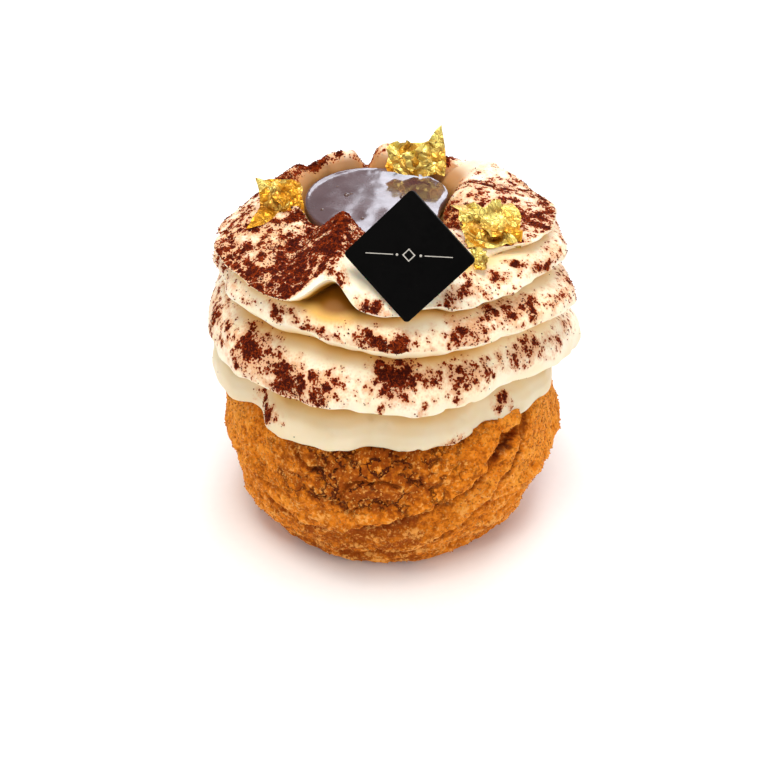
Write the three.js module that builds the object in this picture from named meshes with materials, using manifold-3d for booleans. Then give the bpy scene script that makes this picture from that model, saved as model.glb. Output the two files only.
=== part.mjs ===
// A single choux bun with a sugary cracked crust, crowned with one long ribbon of piped
// cream. The ribbon winds down round the bun in ruffled turns. Its top turn stands up in
// petals round a shallow pool of coffee gel. A square chocolate plaque leans on the front
// petals, and four crumpled flakes of gold leaf lie on the cream.
//
// Millimetres, +Z up. The origin is the centre of the bun's flat foot. Azimuths are in
// degrees, counter-clockwise from +X, and the front of the pastry faces -Y.

import * as THREE from 'three';
import { mergeVertices } from 'three/addons/utils/BufferGeometryUtils.js';
import { ImprovedNoise } from 'three/addons/math/ImprovedNoise.js';
import Module from 'manifold-3d';

const { clamp, degToRad, euclideanModulo, lerp, smoothstep } = THREE.MathUtils;
const wasm = await Module();
wasm.setup();

// ---- driving dimensions ----------------------------------------------------------------

const GAP = 0.35;                     // clearance kept between neighbouring pieces

const BUN_RADIUS = 39.5;              // widest, a third of the way up
const BUN_FOOT_RADIUS = 31.5;         // the flat spot it stands on
const BUN_WIDEST_AT = 19;
const BUN_TOP = 46;
const BUN_SHOULDER = 33;              // radius where the side turns over into the domed top
const BUN_LUMP = 0.9;                 // slow swelling of the baked dough
const BUN_CRAG = 0.7;                 // depth of the cracks in the sugar crust
const CRUST_LEDGE = 1.1;              // how far the sugar crust's rim stands over the shell below
// Height of the sugar crust's torn lower rim, one value for each 15 degrees of azimuth.
const CRUST_RIM = [20.5, 22, 23, 21, 21, 20, 21, 24, 24, 25, 21, 19, 20, 22, 21.5, 19, 15, 15.5, 17,
  20.8, 29.5, 37, 18.4, 19.2];
const BUN_COLUMNS = 72;
const BUN_ROWS = 22;

const TURN_START = 300;               // azimuth where the top turn of the ribbon begins
const TURNS = 4.5;                    // turns of ribbon down to its tail
const BLEND_IN = 0.1;                 // part of a turn over which the ribbon's start fades in
const CREST_TURN = -0.3;              // the petals' crest, on the scale of the ribbon's turns
const CREAM_COLUMNS = 76;

// The ribbon's lip, one value for each quarter turn from its start at the top.
const LIP_HEIGHT = [80, 76, 71, 74.2, 73.2, 69.5, 63.5, 67.5, 65.5, 58.5, 53, 52, 51.5, 43.5,
  43, 39.5, 38.8, 35.8, 40.6];
const LIP_RADIUS = [30.5, 34.5, 34, 39.5, 37.5, 39.5, 38.5, 39.5, 40.5, 40.5, 40.5, 42.5, 41, 44.5,
  41.5, 40.8, 38, 40.5, 38.5];

// Folds in the lip: place in turns, half width in turns, outward reach, rise.
const LIP_FOLDS = [
  { at: 0.13, width: 0.1, reach: 4.2, rise: 0 },
  { at: 0.862, width: 0.022, reach: -4.8, rise: 4.8 },
  { at: 0.955, width: 0.02, reach: -1.5, rise: 0.6 },
  { at: 1.14, width: 0.04, reach: 1.6, rise: 0 },
  { at: 1.83, width: 0.02, reach: -1.2, rise: 0.8 },
  { at: 1.87, width: 0.04, reach: -1, rise: -0.4 },
  { at: 2.115, width: 0.035, reach: 3.4, rise: -0.6 },
  { at: 2.95, width: 0.035, reach: 1, rise: -1 },
  { at: 3.03, width: 0.03, reach: -2.2, rise: 0.4 },
  { at: 3.15, width: 0.035, reach: 1.6, rise: -1.6 },
  { at: 3.67, width: 0.03, reach: 1.2, rise: 0 },
  { at: 3.775, width: 0.02, reach: -2.6, rise: 1.2 },
  { at: 3.83, width: 0.03, reach: 1.3, rise: 0.4 },
  { at: 3.9, width: 0.02, reach: -1.4, rise: 0 },
  { at: 4.02, width: 0.025, reach: -2, rise: 1.4 },
];

const EDGE_TUCK = 0.8;                // the cream meets the bun this far above its last lip
const RECESS_DEPTH = 7;               // deepest the ribbon is tucked in between two lips
const RECESS_DROP = 0.33;             // its place, as a part of the height between the lips

const POOL = { x: -2.3, y: 5.5 };     // the gel pool lies a little towards the back
const WELL_RADIUS = 17.5;
const WELL_FLOOR = 73;
const POOL_LEVEL = 77;
const CREST_RADIUS = 23;              // the petals' crest, measured from the pool's centre
const CREST_HEIGHT = 78.8;

// Petals and the dips between them: azimuth, half width in degrees, rise, outward reach.
const PETALS = [
  { at: 283, width: 20, rise: 4.8, reach: 7 },
  { at: 249, width: 12, rise: 5.2, reach: -3 },
  { at: 228, width: 5, rise: -0.8, reach: -3 },
  { at: 200, width: 18, rise: 1, reach: -3.5 },
  { at: 166, width: 10, rise: -1, reach: 3 },
  { at: 147, width: 6, rise: 0.6, reach: 0 },
  { at: 139, width: 3, rise: -1, reach: -1 },
  { at: 131, width: 6, rise: 0.8, reach: -3 },
  { at: 112, width: 7, rise: 1.2, reach: -2 },
  { at: 98, width: 5, rise: -3.4, reach: -3 },
  { at: 85, width: 6, rise: 1.5, reach: 0 },
  { at: 66, width: 6, rise: -1.2, reach: -3 },
  { at: 50, width: 6, rise: 0.8, reach: 0 },
  { at: 40, width: 3, rise: -1.4, reach: 1 },
  { at: 29, width: 7, rise: 0.9, reach: 7 },
  { at: 355, width: 20, rise: 2.6, reach: -2 },
  { at: 322, width: 8, rise: -1.2, reach: 0 },
];

const PLAQUE_SIDE = 19;
const PLAQUE_THICK = 1.6;
const PLAQUE_CORNER = 0.9;
const PLAQUE_ROLL = 3;                // degrees in its own plane
const PLAQUE_LEAN = 65.7;             // degrees from the horizontal, leaning back
const PLAQUE_TURN = -12;              // degrees about the vertical
const PLAQUE_TIP = [2.95, -38.6, 72.8];

const LEAF_THICK = 0.45;

// ---- small helpers ---------------------------------------------------------------------

const noise = new ImprovedNoise();
const bump = (distance, width) => Math.exp(-((distance / width) ** 2));
const turnBetween = (a, b) => euclideanModulo(a - b + 180, 360) - 180;

/** A smooth value through evenly spaced table entries, with x counted in entries. */
function throughTable(table, x) {
  const last = table.length - 1;
  const i = clamp(Math.floor(x), 0, last - 1);
  const f = clamp(x - i, 0, 1);
  const at = (n) => table[clamp(n, 0, last)];
  const slopeIn = (at(i + 1) - at(i - 1)) / 2;
  const slopeOut = (at(i + 2) - at(i)) / 2;
  const f2 = f * f;
  const f3 = f2 * f;
  return (2 * f3 - 3 * f2 + 1) * at(i) + (f3 - 2 * f2 + f) * slopeIn
    + (3 * f2 - 2 * f3) * at(i + 1) + (f3 - f2) * slopeOut;
}

/** A point of the quadratic curve from a to b that is pulled towards c. */
function curveThrough(a, c, b, s) {
  const u = 1 - s;
  return {
    r: u * u * a.r + 2 * u * s * c.r + s * s * b.r,
    z: u * u * a.z + 2 * u * s * c.z + s * s * b.z,
  };
}

const mixPoints = (a, b, s) => ({ r: lerp(a.r, b.r, s), z: lerp(a.z, b.z, s) });

/** A closed body from columns of points that run from one pole to the other. Each
 * point carries a key, and neighbouring columns are joined in the order of their keys. */
function bodyFromColumns(columns, topPole, bottomPole) {
  const positions = [];
  const index = [];
  const add = ([x, y, z]) => positions.push(x, y, z) / 3 - 1;
  const top = add(topPole);
  const bottom = add(bottomPole);
  const rings = columns.map((column) => column.map((entry) => ({ key: entry.key, id: add(entry.at) })));
  rings.forEach((left, i) => {
    const right = rings[(i + 1) % rings.length];
    let a = 0;
    let b = 0;
    index.push(top, left[0].id, right[0].id);
    while (a < left.length - 1 || b < right.length - 1) {
      const leftNext = a < left.length - 1 ? left[a + 1].key : Infinity;
      const rightNext = b < right.length - 1 ? right[b + 1].key : Infinity;
      if (leftNext <= rightNext) {
        index.push(left[a].id, left[a + 1].id, right[b].id);
        a += 1;
      } else {
        index.push(left[a].id, right[b + 1].id, right[b].id);
        b += 1;
      }
    }
    index.push(bottom, right[b].id, left[a].id);
  });
  const geometry = new THREE.BufferGeometry();
  geometry.setAttribute('position', new THREE.Float32BufferAttribute(positions, 3));
  geometry.setIndex(index);
  return geometry;
}

/** The manifold-3d solid of a closed geometry. */
function toSolid(geometry) {
  const bare = geometry.clone();
  bare.deleteAttribute('normal');
  bare.deleteAttribute('uv');
  const merged = mergeVertices(bare, 1e-4);
  return new wasm.Manifold(new wasm.Mesh({
    numProp: 3,
    vertProperties: new Float32Array(merged.attributes.position.array),
    triVerts: new Uint32Array(merged.index.array),
  }));
}

/** The geometry of a manifold-3d solid. */
function toGeometry(solid) {
  const mesh = solid.getMesh();
  const geometry = new THREE.BufferGeometry();
  geometry.setAttribute('position', new THREE.Float32BufferAttribute(mesh.vertProperties, 3));
  geometry.setIndex(Array.from(mesh.triVerts));
  return geometry;
}

// ---- choux bun -------------------------------------------------------------------------

/** Radius of the plain bun at a height. */
function bunProfile(z) {
  if (z < BUN_WIDEST_AT) {
    const s = Math.sin(Math.PI / 2 * Math.max(z, 0) / BUN_WIDEST_AT) ** 0.62;
    return lerp(BUN_FOOT_RADIUS, BUN_RADIUS, s);
  }
  const s = (z - BUN_WIDEST_AT) / (BUN_TOP - BUN_WIDEST_AT);
  return BUN_RADIUS * Math.sqrt(Math.max(0, 1 - s ** 5.5));
}

/** Height of the plain bun's domed top at a radius. */
function bunTopAt(radius) {
  const s = (1 - (radius / BUN_RADIUS) ** 2) ** (1 / 5.5);
  return BUN_WIDEST_AT + (BUN_TOP - BUN_WIDEST_AT) * s;
}

/** Height of the torn rim where the sugar crust ends and the plain shell shows. */
function crustRimAt(azimuth) {
  const step = euclideanModulo(azimuth, 360) / 15;
  const ring = [CRUST_RIM.at(-1), ...CRUST_RIM, CRUST_RIM[0], CRUST_RIM[1]];
  return throughTable(ring, step + 1) + 0.8 * Math.sin(degToRad(11 * azimuth));
}

/** Outward relief of the baked crust: slow lumps, cracks, the crust's ledge and a lobe. */
function crustRelief(azimuth, z) {
  const a = degToRad(azimuth);
  const x = Math.cos(a) * BUN_RADIUS;
  const y = Math.sin(a) * BUN_RADIUS;
  const lump = noise.noise(x / 17 + 3.1, y / 17, z / 14) * 2 * BUN_LUMP;
  const crag = Math.abs(noise.noise(x / 7.5, y / 7.5 + 5.2, z / 6.5)) * 2;
  const crack = -BUN_CRAG * (1 - smoothstep(crag, 0, 0.3));
  const aboveRim = z - crustRimAt(azimuth);
  const ledge = CRUST_LEDGE * (smoothstep(aboveRim, -2.2, 0.8) - 0.5 - 0.9 * bump(aboveRim + 1.2, 1.6));
  const lobe = 0.9 * bump(turnBetween(azimuth, 352), 9) * bump(z - 21, 7);
  const skirt = -0.7 * bump(z - 6 - 2 * Math.sin(3 * a), 2.2);
  const covered = smoothstep(z - seatHeight(azimuth), -3.4, -0.8);
  return (lump + crack + ledge + lobe + skirt) * smoothstep(z, 0.5, 5) * (1 - covered);
}

function chouxBun() {
  const columns = [];
  for (let i = 0; i < BUN_COLUMNS; i += 1) {
    const azimuth = i * 360 / BUN_COLUMNS;
    const column = [];
    const place = (radius, z, key) => {
      const a = degToRad(azimuth);
      column.push({ key, at: [radius * Math.cos(a), radius * Math.sin(a), z] });
    };
    for (let j = 1; j <= 4; j += 1) {
      const radius = BUN_SHOULDER * j / 5;
      place(radius, bunTopAt(radius), j);
    }
    for (let j = 0; j < BUN_ROWS; j += 1) {
      const z = bunTopAt(BUN_SHOULDER) * (1 - j / BUN_ROWS);
      place(bunProfile(z) + crustRelief(azimuth, z), z, 10 + j);
    }
    place(BUN_FOOT_RADIUS, 0, 100);
    columns.push(column);
  }
  return bodyFromColumns(columns, [0, 0, BUN_TOP], [0, 0, 0]);
}

// ---- piped cream -----------------------------------------------------------------------

/** The lip of the ribbon, by turns from its start. */
function lipAt(turn) {
  const folds = LIP_FOLDS.map((fold) => ({ ...fold, here: bump(turn - fold.at, fold.width) }));
  const wave = 0.45 * Math.sin(2 * Math.PI * 7.3 * turn + 1) + 0.3 * Math.sin(2 * Math.PI * 12.7 * turn);
  const reach = folds.reduce((sum, fold) => sum + fold.reach * fold.here, wave);
  const rise = folds.reduce((sum, fold) => sum + fold.rise * fold.here, 0.35 * wave);
  const z = throughTable(LIP_HEIGHT, turn * 4) + rise;
  return { r: Math.max(throughTable(LIP_RADIUS, turn * 4) + reach, bunProfile(z) + 1), z };
}

/** The petals' crest, measured from the pool's centre. */
function crestAt(azimuth) {
  const crest = { r: CREST_RADIUS, z: CREST_HEIGHT };
  for (const petal of PETALS) {
    const here = bump(turnBetween(azimuth, petal.at), petal.width);
    crest.r += petal.reach * here;
    crest.z += petal.rise * here;
  }
  return crest;
}

/** How many lips stand one above the other at a part of a turn. */
const lipsAt = (turn) => (turn < TURNS - 4 ? 5 : 4);

/** How far round from the ribbon's start an azimuth is, in turns. */
const turnAt = (azimuth) => euclideanModulo(azimuth - TURN_START, 360) / 360;

/** Height at which the cream, tucked in behind its last lip, meets the bun. */
function seatHeight(azimuth) {
  const turn = turnAt(azimuth);
  const lastLip = lipAt(turn + lipsAt(turn) - 1);
  return Math.min(lastLip.z + EDGE_TUCK, bunTopAt(BUN_SHOULDER) - 0.4);
}

/** The outer slope of a petal, from its crest down to the lip below. */
function petalSlope(crest, lip, azimuth, s) {
  const fullness = 0.15 + 0.75 * bump(turnBetween(azimuth, 272), 34);
  const straight = mixPoints(crest, lip, 0.5);
  const full = { r: lip.r - 1.5, z: crest.z - 0.5 };
  return curveThrough(crest, mixPoints(straight, full, fullness), lip, s);
}

/** The underside of the last lip, in to the bun. */
function underside(lip, edge, p) {
  return { r: lerp(lip.r, edge.r, p), z: lerp(lip.z, edge.z, p * p) - 0.35 * Math.sin(Math.PI * p) };
}

/** The ribbon between two lips, one above the other: under the upper lip, into the
 * recess, and over the swelling top of the next turn to its lip. */
function ruffle(upper, lower, p) {
  const recess = 0.31;
  const drop = upper.z - lower.z;
  const core = Math.min(upper.r, lower.r) - clamp(0.65 * drop, 1.2, RECESS_DEPTH);
  if (p < recess) {
    const s = p / recess;
    return {
      r: lerp(upper.r, core, s),
      z: upper.z - RECESS_DROP * drop * Math.sin(s * Math.PI / 2),
    };
  }
  const s = (p - recess) / (1 - recess);
  return {
    r: lerp(core, lower.r, 1 - (1 - s) ** 1.9),
    z: upper.z - drop * lerp(RECESS_DROP, 1, s ** 1.5),
  };
}

/** A point of the cream's outer side at an azimuth, q turns below the petals. It is
 * measured from a centre that moves from the pool to the bun's axis. */
function creamSide(azimuth, q) {
  const turn = turnAt(azimuth);
  const last = lipsAt(turn) - 1;
  const crest = crestAt(azimuth);
  const slope = (target) => {
    const s = (q - CREST_TURN) / (target - CREST_TURN);
    return { ...petalSlope(crest, lipAt(target), azimuth, s), centre: (1 - s) ** 1.2 };
  };
  const ruffled = () => {
    if (q <= turn) return slope(turn);
    const k = Math.min(Math.floor(q - turn), last);
    const p = q - turn - k;
    if (k < last) return { ...ruffle(lipAt(turn + k), lipAt(turn + k + 1), p), centre: 0 };
    return { ...underside(lipAt(turn + last), seatPoint(azimuth, 0), p), centre: 0 };
  };
  const shown = smoothstep(turn, 0, BLEND_IN);
  if (shown === 1 || q >= turn + 1) return ruffled();
  const plain = slope(turn + 1);
  const ribbon = ruffled();
  return {
    r: lerp(plain.r, ribbon.r, shown),
    z: lerp(plain.z, ribbon.z, shown),
    centre: lerp(plain.centre, ribbon.centre, shown),
  };
}

/** The cream's seat on the bun, from its lower edge at 0 up to the bun's shoulder at 1. */
function seatPoint(azimuth, s) {
  const z = lerp(seatHeight(azimuth), bunTopAt(BUN_SHOULDER), s);
  return { r: bunProfile(z) + GAP, z: z + GAP * s, centre: 0 };
}

/** The inside of the well, from its floor up to the petals' crest. */
function wellSide(azimuth, s) {
  const crest = crestAt(azimuth);
  const bulge = 2.8 * bump(turnBetween(azimuth, 350), 22);
  const wall = WELL_RADIUS + 0.5 * Math.sin(degToRad(azimuth * 3 + 40)) - bulge;
  if (s <= 0.25) return { r: wall * s / 0.25, z: WELL_FLOOR, centre: 1 };
  const foot = { r: wall, z: WELL_FLOOR };
  const rounded = { r: wall + 0.6, z: crest.z - 0.4 };
  return { ...curveThrough(foot, rounded, crest, (s - 0.25) / 0.75), centre: 1 };
}

function pipedCream() {
  const phases = [0, 0.07, 0.19, 0.31, 0.43, 0.57, 0.72, 0.87];
  const columns = [];
  for (let i = 0; i < CREAM_COLUMNS; i += 1) {
    const turn = i / CREAM_COLUMNS;
    const azimuth = TURN_START + 360 * turn;
    const a = degToRad(azimuth);
    const column = [];
    const place = (point, key) => column.push({
      key,
      at: [
        POOL.x * point.centre + point.r * Math.cos(a),
        POOL.y * point.centre + point.r * Math.sin(a),
        point.z,
      ],
    });
    for (const s of [0.12, 0.25, 0.45, 0.65, 0.83, 1]) {
      place(wellSide(azimuth, s), CREST_TURN - 1 + s);
    }
    const last = lipsAt(turn) - 1;
    for (let k = -1; k < last; k += 1) {
      for (const p of phases) {
        const q = turn + k + p;
        if (q > CREST_TURN) place(creamSide(azimuth, q), q);
      }
    }
    for (const p of [0, 0.3, 0.65]) {
      place(creamSide(azimuth, turn + last + p), turn + last + p);
    }
    for (const s of [0, 0.33, 0.67, 1]) {
      place(seatPoint(azimuth, s), 10 + s);
    }
    for (let j = 1; j <= 3; j += 1) {
      const radius = BUN_SHOULDER * (1 - j / 4);
      place({ r: radius, z: bunTopAt(radius) + GAP, centre: 0 }, 11 + j);
    }
    columns.push(column);
  }
  return bodyFromColumns(columns, [POOL.x, POOL.y, WELL_FLOOR], [0, 0, BUN_TOP + GAP]);
}

// ---- coffee gel ------------------------------------------------------------------------

function coffeeGel() {
  const columns = [];
  const count = 48;
  for (let i = 0; i < count; i += 1) {
    const azimuth = i * 360 / count;
    const a = degToRad(azimuth);
    const foot = wellSide(azimuth, 0.25).r - GAP;
    const rim = foot + 0.1;
    const place = (radius, z) => [POOL.x + radius * Math.cos(a), POOL.y + radius * Math.sin(a), z];
    columns.push([
      { key: 0, at: place(rim * 0.5, POOL_LEVEL) },
      { key: 1, at: place(rim * 0.86, POOL_LEVEL) },
      { key: 2, at: place(rim - 0.6, POOL_LEVEL - 0.15) },
      { key: 3, at: place(rim, POOL_LEVEL - 0.7) },
      { key: 4, at: place(foot, WELL_FLOOR + GAP) },
    ]);
  }
  return bodyFromColumns(columns, [POOL.x, POOL.y, POOL_LEVEL], [POOL.x, POOL.y, WELL_FLOOR + GAP]);
}

// ---- chocolate plaque ------------------------------------------------------------------

/** A square plate with rounded corners, its lower corner at the origin, facing -Y. */
function plaquePlate(grow) {
  const half = PLAQUE_SIDE / 2 + grow;
  const corner = PLAQUE_CORNER + grow;
  const outline = new THREE.Shape();
  outline.moveTo(half, -half + corner);
  outline.absarc(half - corner, half - corner, corner, 0, Math.PI / 2);
  outline.absarc(-half + corner, half - corner, corner, Math.PI / 2, Math.PI);
  outline.absarc(-half + corner, -half + corner, corner, Math.PI, 1.5 * Math.PI);
  outline.absarc(half - corner, -half + corner, corner, 1.5 * Math.PI, 2 * Math.PI);
  const plate = new THREE.ExtrudeGeometry(outline, {
    depth: PLAQUE_THICK + 2 * grow,
    bevelEnabled: false,
    curveSegments: 4,
  });
  plate.translate(0, 0, -PLAQUE_THICK / 2 - grow);
  plate.rotateZ(degToRad(45 + PLAQUE_ROLL));
  plate.translate(0, PLAQUE_SIDE * Math.SQRT1_2, 0);
  plate.rotateX(degToRad(PLAQUE_LEAN));
  plate.rotateZ(degToRad(PLAQUE_TURN));
  plate.translate(...PLAQUE_TIP);
  return plate;
}

// ---- gold leaf -------------------------------------------------------------------------

/** A crumpled flake. Both faces are the same folded sheet, split alike. A horn draws its
 * upper right corner out to a point. */
function goldFlake({ at, size, tilt, turn, crumple, seed, horn, grow = 0 }) {
  const across = 8;
  const along = 6;
  const sheet = (u, v, side) => {
    const edge = 1 + 0.22 * noise.noise(u * 2.3 + seed, v * 2.3, 4.4);
    const fold = noise.noise(u * 2.1 + seed, v * 2.6, 1.7) * 2 * crumple;
    const pinch = Math.abs(noise.noise(u * 4.2, v * 4.6 + seed, 9.2)) * 1.6 * crumple;
    const half = LEAF_THICK / 2 + grow;
    const drawn = horn * (Math.max(u + 0.2, 0) * Math.max(v + 0.2, 0)) ** 2 / 2;
    return [u * edge * size[0] / 2, v * edge * size[1] / 2 + drawn, fold + pinch + side * half];
  };
  const positions = [];
  const index = [];
  const count = (across + 1) * (along + 1);
  for (const side of [1, -1]) {
    for (let j = 0; j <= along; j += 1) {
      for (let i = 0; i <= across; i += 1) {
        positions.push(...sheet(2 * i / across - 1, 2 * j / along - 1, side));
      }
    }
  }
  const id = (i, j) => j * (across + 1) + i;
  for (let j = 0; j < along; j += 1) {
    for (let i = 0; i < across; i += 1) {
      const [a, b, c, d] = [id(i, j), id(i + 1, j), id(i + 1, j + 1), id(i, j + 1)];
      index.push(a, b, c, a, c, d);
      index.push(count + a, count + c, count + b, count + a, count + d, count + c);
    }
  }
  const rim = [];
  for (let i = 0; i < across; i += 1) rim.push(id(i, 0));
  for (let j = 0; j < along; j += 1) rim.push(id(across, j));
  for (let i = across; i > 0; i -= 1) rim.push(id(i, along));
  for (let j = along; j > 0; j -= 1) rim.push(id(0, j));
  rim.forEach((a, n) => {
    const b = rim[(n + 1) % rim.length];
    index.push(a, count + a, count + b, a, count + b, b);
  });
  const geometry = new THREE.BufferGeometry();
  geometry.setAttribute('position', new THREE.Float32BufferAttribute(positions, 3));
  geometry.setIndex(index);
  geometry.rotateX(degToRad(tilt));
  geometry.rotateZ(degToRad(turn));
  geometry.translate(...at);
  return geometry;
}

const GOLD_FLAKES = {
  gold_leaf_back: { at: [6.7, 18.8, 80.7], size: [14, 7.6], tilt: 60, turn: -4, crumple: 1, seed: 1, horn: 4 },
  gold_leaf_left: { at: [-23.6, -1.6, 81], size: [9, 8.5], tilt: 30, turn: 12, crumple: 1, seed: 7, horn: -2 },
  gold_leaf_right: { at: [21.8, -13.4, 81], size: [12.6, 11], tilt: 28, turn: 10, crumple: 1, seed: 12, horn: 1 },
  gold_leaf_scrap: { at: [19, -23.8, 78.9], size: [3.4, 4.6], tilt: 36, turn: 8, crumple: 0.4, seed: 20, horn: 0 },
};

// ---- assembly --------------------------------------------------------------------------

const pastry = new THREE.Group();

/** Adds a named piece with its own material. */
function addPiece(name, geometry, material) {
  const piece = new THREE.Mesh(geometry, new THREE.MeshStandardMaterial(material));
  piece.name = name;
  pastry.add(piece);
}

let cream = toSolid(pipedCream()).subtract(toSolid(plaquePlate(GAP)));
for (const flake of Object.values(GOLD_FLAKES)) {
  cream = cream.subtract(toSolid(goldFlake({ ...flake, grow: GAP })));
}
cream = cream.decompose().sort((a, b) => b.volume() - a.volume())[0];

addPiece('choux_bun', chouxBun(), { color: 0xc9822f, roughness: 0.85, metalness: 0 });
addPiece('piped_cream', toGeometry(cream), { color: 0xf3e9d2, roughness: 0.5, metalness: 0 });
addPiece('coffee_gel', coffeeGel(), { color: 0x2a1712, roughness: 0.08, metalness: 0 });
addPiece('chocolate_plaque', plaquePlate(0), { color: 0x141212, roughness: 0.4, metalness: 0 });
for (const [name, flake] of Object.entries(GOLD_FLAKES)) {
  addPiece(name, goldFlake(flake), { color: 0xe8c23a, roughness: 0.25, metalness: 1 });
}

export default pastry;
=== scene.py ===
# %% [markdown]
# # A choux bun with piped cream, gel, a chocolate plaque and gold leaf
#
# The pastry has five kinds of piece: a bun with a sugar crust, one long ribbon of whipped
# cream wound round it, a pool of coffee gel on top, a thin square of chocolate and a few
# flakes of gold leaf. Cocoa powder, sugar crumbs and vanilla seeds are scattered on them.
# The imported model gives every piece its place. Each soft piece is modelled again here with
# the detail that a solid for physics leaves out, and it stands in for its solid.

# %% Load the frame
import math

import bpy
import numpy as np
from mathutils import Euler, Matrix, Vector, noise


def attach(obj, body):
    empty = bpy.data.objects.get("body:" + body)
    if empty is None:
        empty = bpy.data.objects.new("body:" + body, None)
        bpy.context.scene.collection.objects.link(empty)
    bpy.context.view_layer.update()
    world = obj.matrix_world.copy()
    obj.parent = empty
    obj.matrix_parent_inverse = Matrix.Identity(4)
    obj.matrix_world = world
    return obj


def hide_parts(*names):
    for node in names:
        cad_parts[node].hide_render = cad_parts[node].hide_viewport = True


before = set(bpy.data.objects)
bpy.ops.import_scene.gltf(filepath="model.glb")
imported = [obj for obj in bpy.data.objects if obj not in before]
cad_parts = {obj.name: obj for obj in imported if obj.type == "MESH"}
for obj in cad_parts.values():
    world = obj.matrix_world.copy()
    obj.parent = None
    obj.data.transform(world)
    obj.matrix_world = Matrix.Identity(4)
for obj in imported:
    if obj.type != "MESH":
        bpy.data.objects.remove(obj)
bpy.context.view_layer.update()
MM = 0.001
# Blender's vector noise starts from the clock, and a fixed seed makes every run the same.
noise.seed_set(1)
print("nodes:", ", ".join(sorted(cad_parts)))

# %% [markdown]
# Blender works in metres, while a pastry is thought of in millimetres. The shapes below are
# worked out in millimetres as numpy arrays and written to a mesh in metres. These helpers
# read and write a mesh's points, apply modifiers, and hand a finished piece to the frame.


# %% Mesh helpers
def deselect_all():
    """Clears the selection, because an operator acts on all that is selected."""
    bpy.ops.object.select_all(action="DESELECT")


def read_points(piece):
    """The piece's points in millimetres, one row each."""
    flat = np.empty(len(piece.data.vertices) * 3)
    piece.data.vertices.foreach_get("co", flat)
    return flat.reshape(-1, 3) / MM


def read_normals(piece):
    """The piece's outward directions, one row for each point."""
    flat = np.empty(len(piece.data.vertices) * 3)
    piece.data.vertex_normals.foreach_get("vector", flat)
    return flat.reshape(-1, 3)


def write_points(piece, points):
    """Moves the piece's points to the given places, in millimetres."""
    piece.data.vertices.foreach_set("co", np.asarray(points * MM, dtype=float).ravel())
    piece.data.update()


def store_values(piece, name, values):
    """Keeps one number for each point under a name that a material can read."""
    attribute = piece.data.attributes.new(name, "FLOAT", "POINT")
    attribute.data.foreach_set("value", np.asarray(values, dtype=float))


def apply_modifier(piece, kind, **settings):
    """Adds one modifier to the piece and applies it."""
    bpy.context.view_layer.objects.active = piece
    modifier = piece.modifiers.new(kind.title(), kind)
    for name, value in settings.items():
        setattr(modifier, name, value)
    bpy.ops.object.modifier_apply(modifier=modifier.name)


def close_seams(piece, distance_mm=0.001):
    """Merges points that lie on each other and turns all faces outwards."""
    deselect_all()
    piece.select_set(True)
    bpy.context.view_layer.objects.active = piece
    bpy.ops.object.mode_set(mode="EDIT")
    bpy.ops.mesh.select_all(action="SELECT")
    bpy.ops.mesh.remove_doubles(threshold=distance_mm * MM)
    bpy.ops.mesh.dissolve_degenerate(threshold=distance_mm * MM)
    bpy.ops.mesh.normals_make_consistent(inside=False)
    bpy.ops.object.mode_set(mode="OBJECT")


def copy_of_node(node):
    """A copy of a CAD node with its loose triangles merged into one closed mesh."""
    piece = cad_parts[node].copy()
    piece.data = piece.data.copy()
    piece.parent = None
    piece.matrix_world = Matrix.Identity(4)
    bpy.context.collection.objects.link(piece)
    close_seams(piece)
    return piece


def smooth_shading(piece):
    """Shades the piece as if its faces ran into each other."""
    deselect_all()
    piece.select_set(True)
    bpy.context.view_layer.objects.active = piece
    bpy.ops.object.shade_smooth()


def hand_over(piece, name, material, slot, *nodes):
    """Names a finished piece, gives it its material, hangs it under the root and hides the nodes it
    stands in for.
    """
    piece.name = name
    piece.data.name = name
    piece.data.materials.clear()
    piece.data.materials.append(material)
    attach(piece, "root")
    for node in nodes:
        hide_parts(node)
    triangles = sum(len(face.vertices) - 2 for face in piece.data.polygons)
    print(f"{name}: {triangles} triangles")


# %% [markdown]
# Materials are small networks of nodes. One function turns a colour from its sRGB hex value
# to the linear numbers that the sockets take. Another adds a node with its settings, its
# constants and its links, and gives back the output that the next node reads, so a network
# reads like a list of its parts.


# %% Material helpers
def linear(hex_colour):
    """An sRGB hex colour as linear red, green, blue and alpha."""
    parts = [int(hex_colour[i:i + 2], 16) / 255 for i in (1, 3, 5)]
    return [p / 12.92 if p <= 0.04045 else ((p + 0.055) / 1.055) ** 2.4 for p in parts] + [1]


def add_node(tree, kind, inputs=None, output=0, **settings):
    """One node, as its output. An input is a number, a hex colour or another node's output."""
    node = tree.nodes.new("ShaderNode" + kind)
    for name, value in settings.items():
        setattr(node, name, value)
    for name, value in (inputs or {}).items():
        if isinstance(value, bpy.types.NodeSocket):
            tree.links.new(value, node.inputs[name])
        else:
            node.inputs[name].default_value = linear(value) if isinstance(value, str) else value
    return node.outputs[output]


def new_material(name, **constants):
    """A material with one Principled shader. Constants go on the shader's own sockets."""
    material = bpy.data.materials.new(name)
    material.use_nodes = True
    tree = material.node_tree
    tree.nodes.clear()
    shader = tree.nodes.new("ShaderNodeBsdfPrincipled")
    for socket, value in constants.items():
        shader.inputs[socket.replace("_", " ")].default_value = value
    surface = tree.nodes.new("ShaderNodeOutputMaterial").inputs["Surface"]
    tree.links.new(shader.outputs[0], surface)
    return material, tree, shader


# %% [markdown]
# A Map Range node turns the numbers of a pattern into an amount, here always with soft ends.
# A Mix node for colours has its factor at socket 0, its colours at 6 and 7 and its result
# at output 2. Noise is the pattern that most finishes start from, with its spots measured
# in millimetres on the object, so its scale is one over that size.


# %% Patterns and tints
SOFT_ENDS = {"interpolation_type": "SMOOTHSTEP"}
COLOURS = {"data_type": "RGBA", "output": 2}


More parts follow.
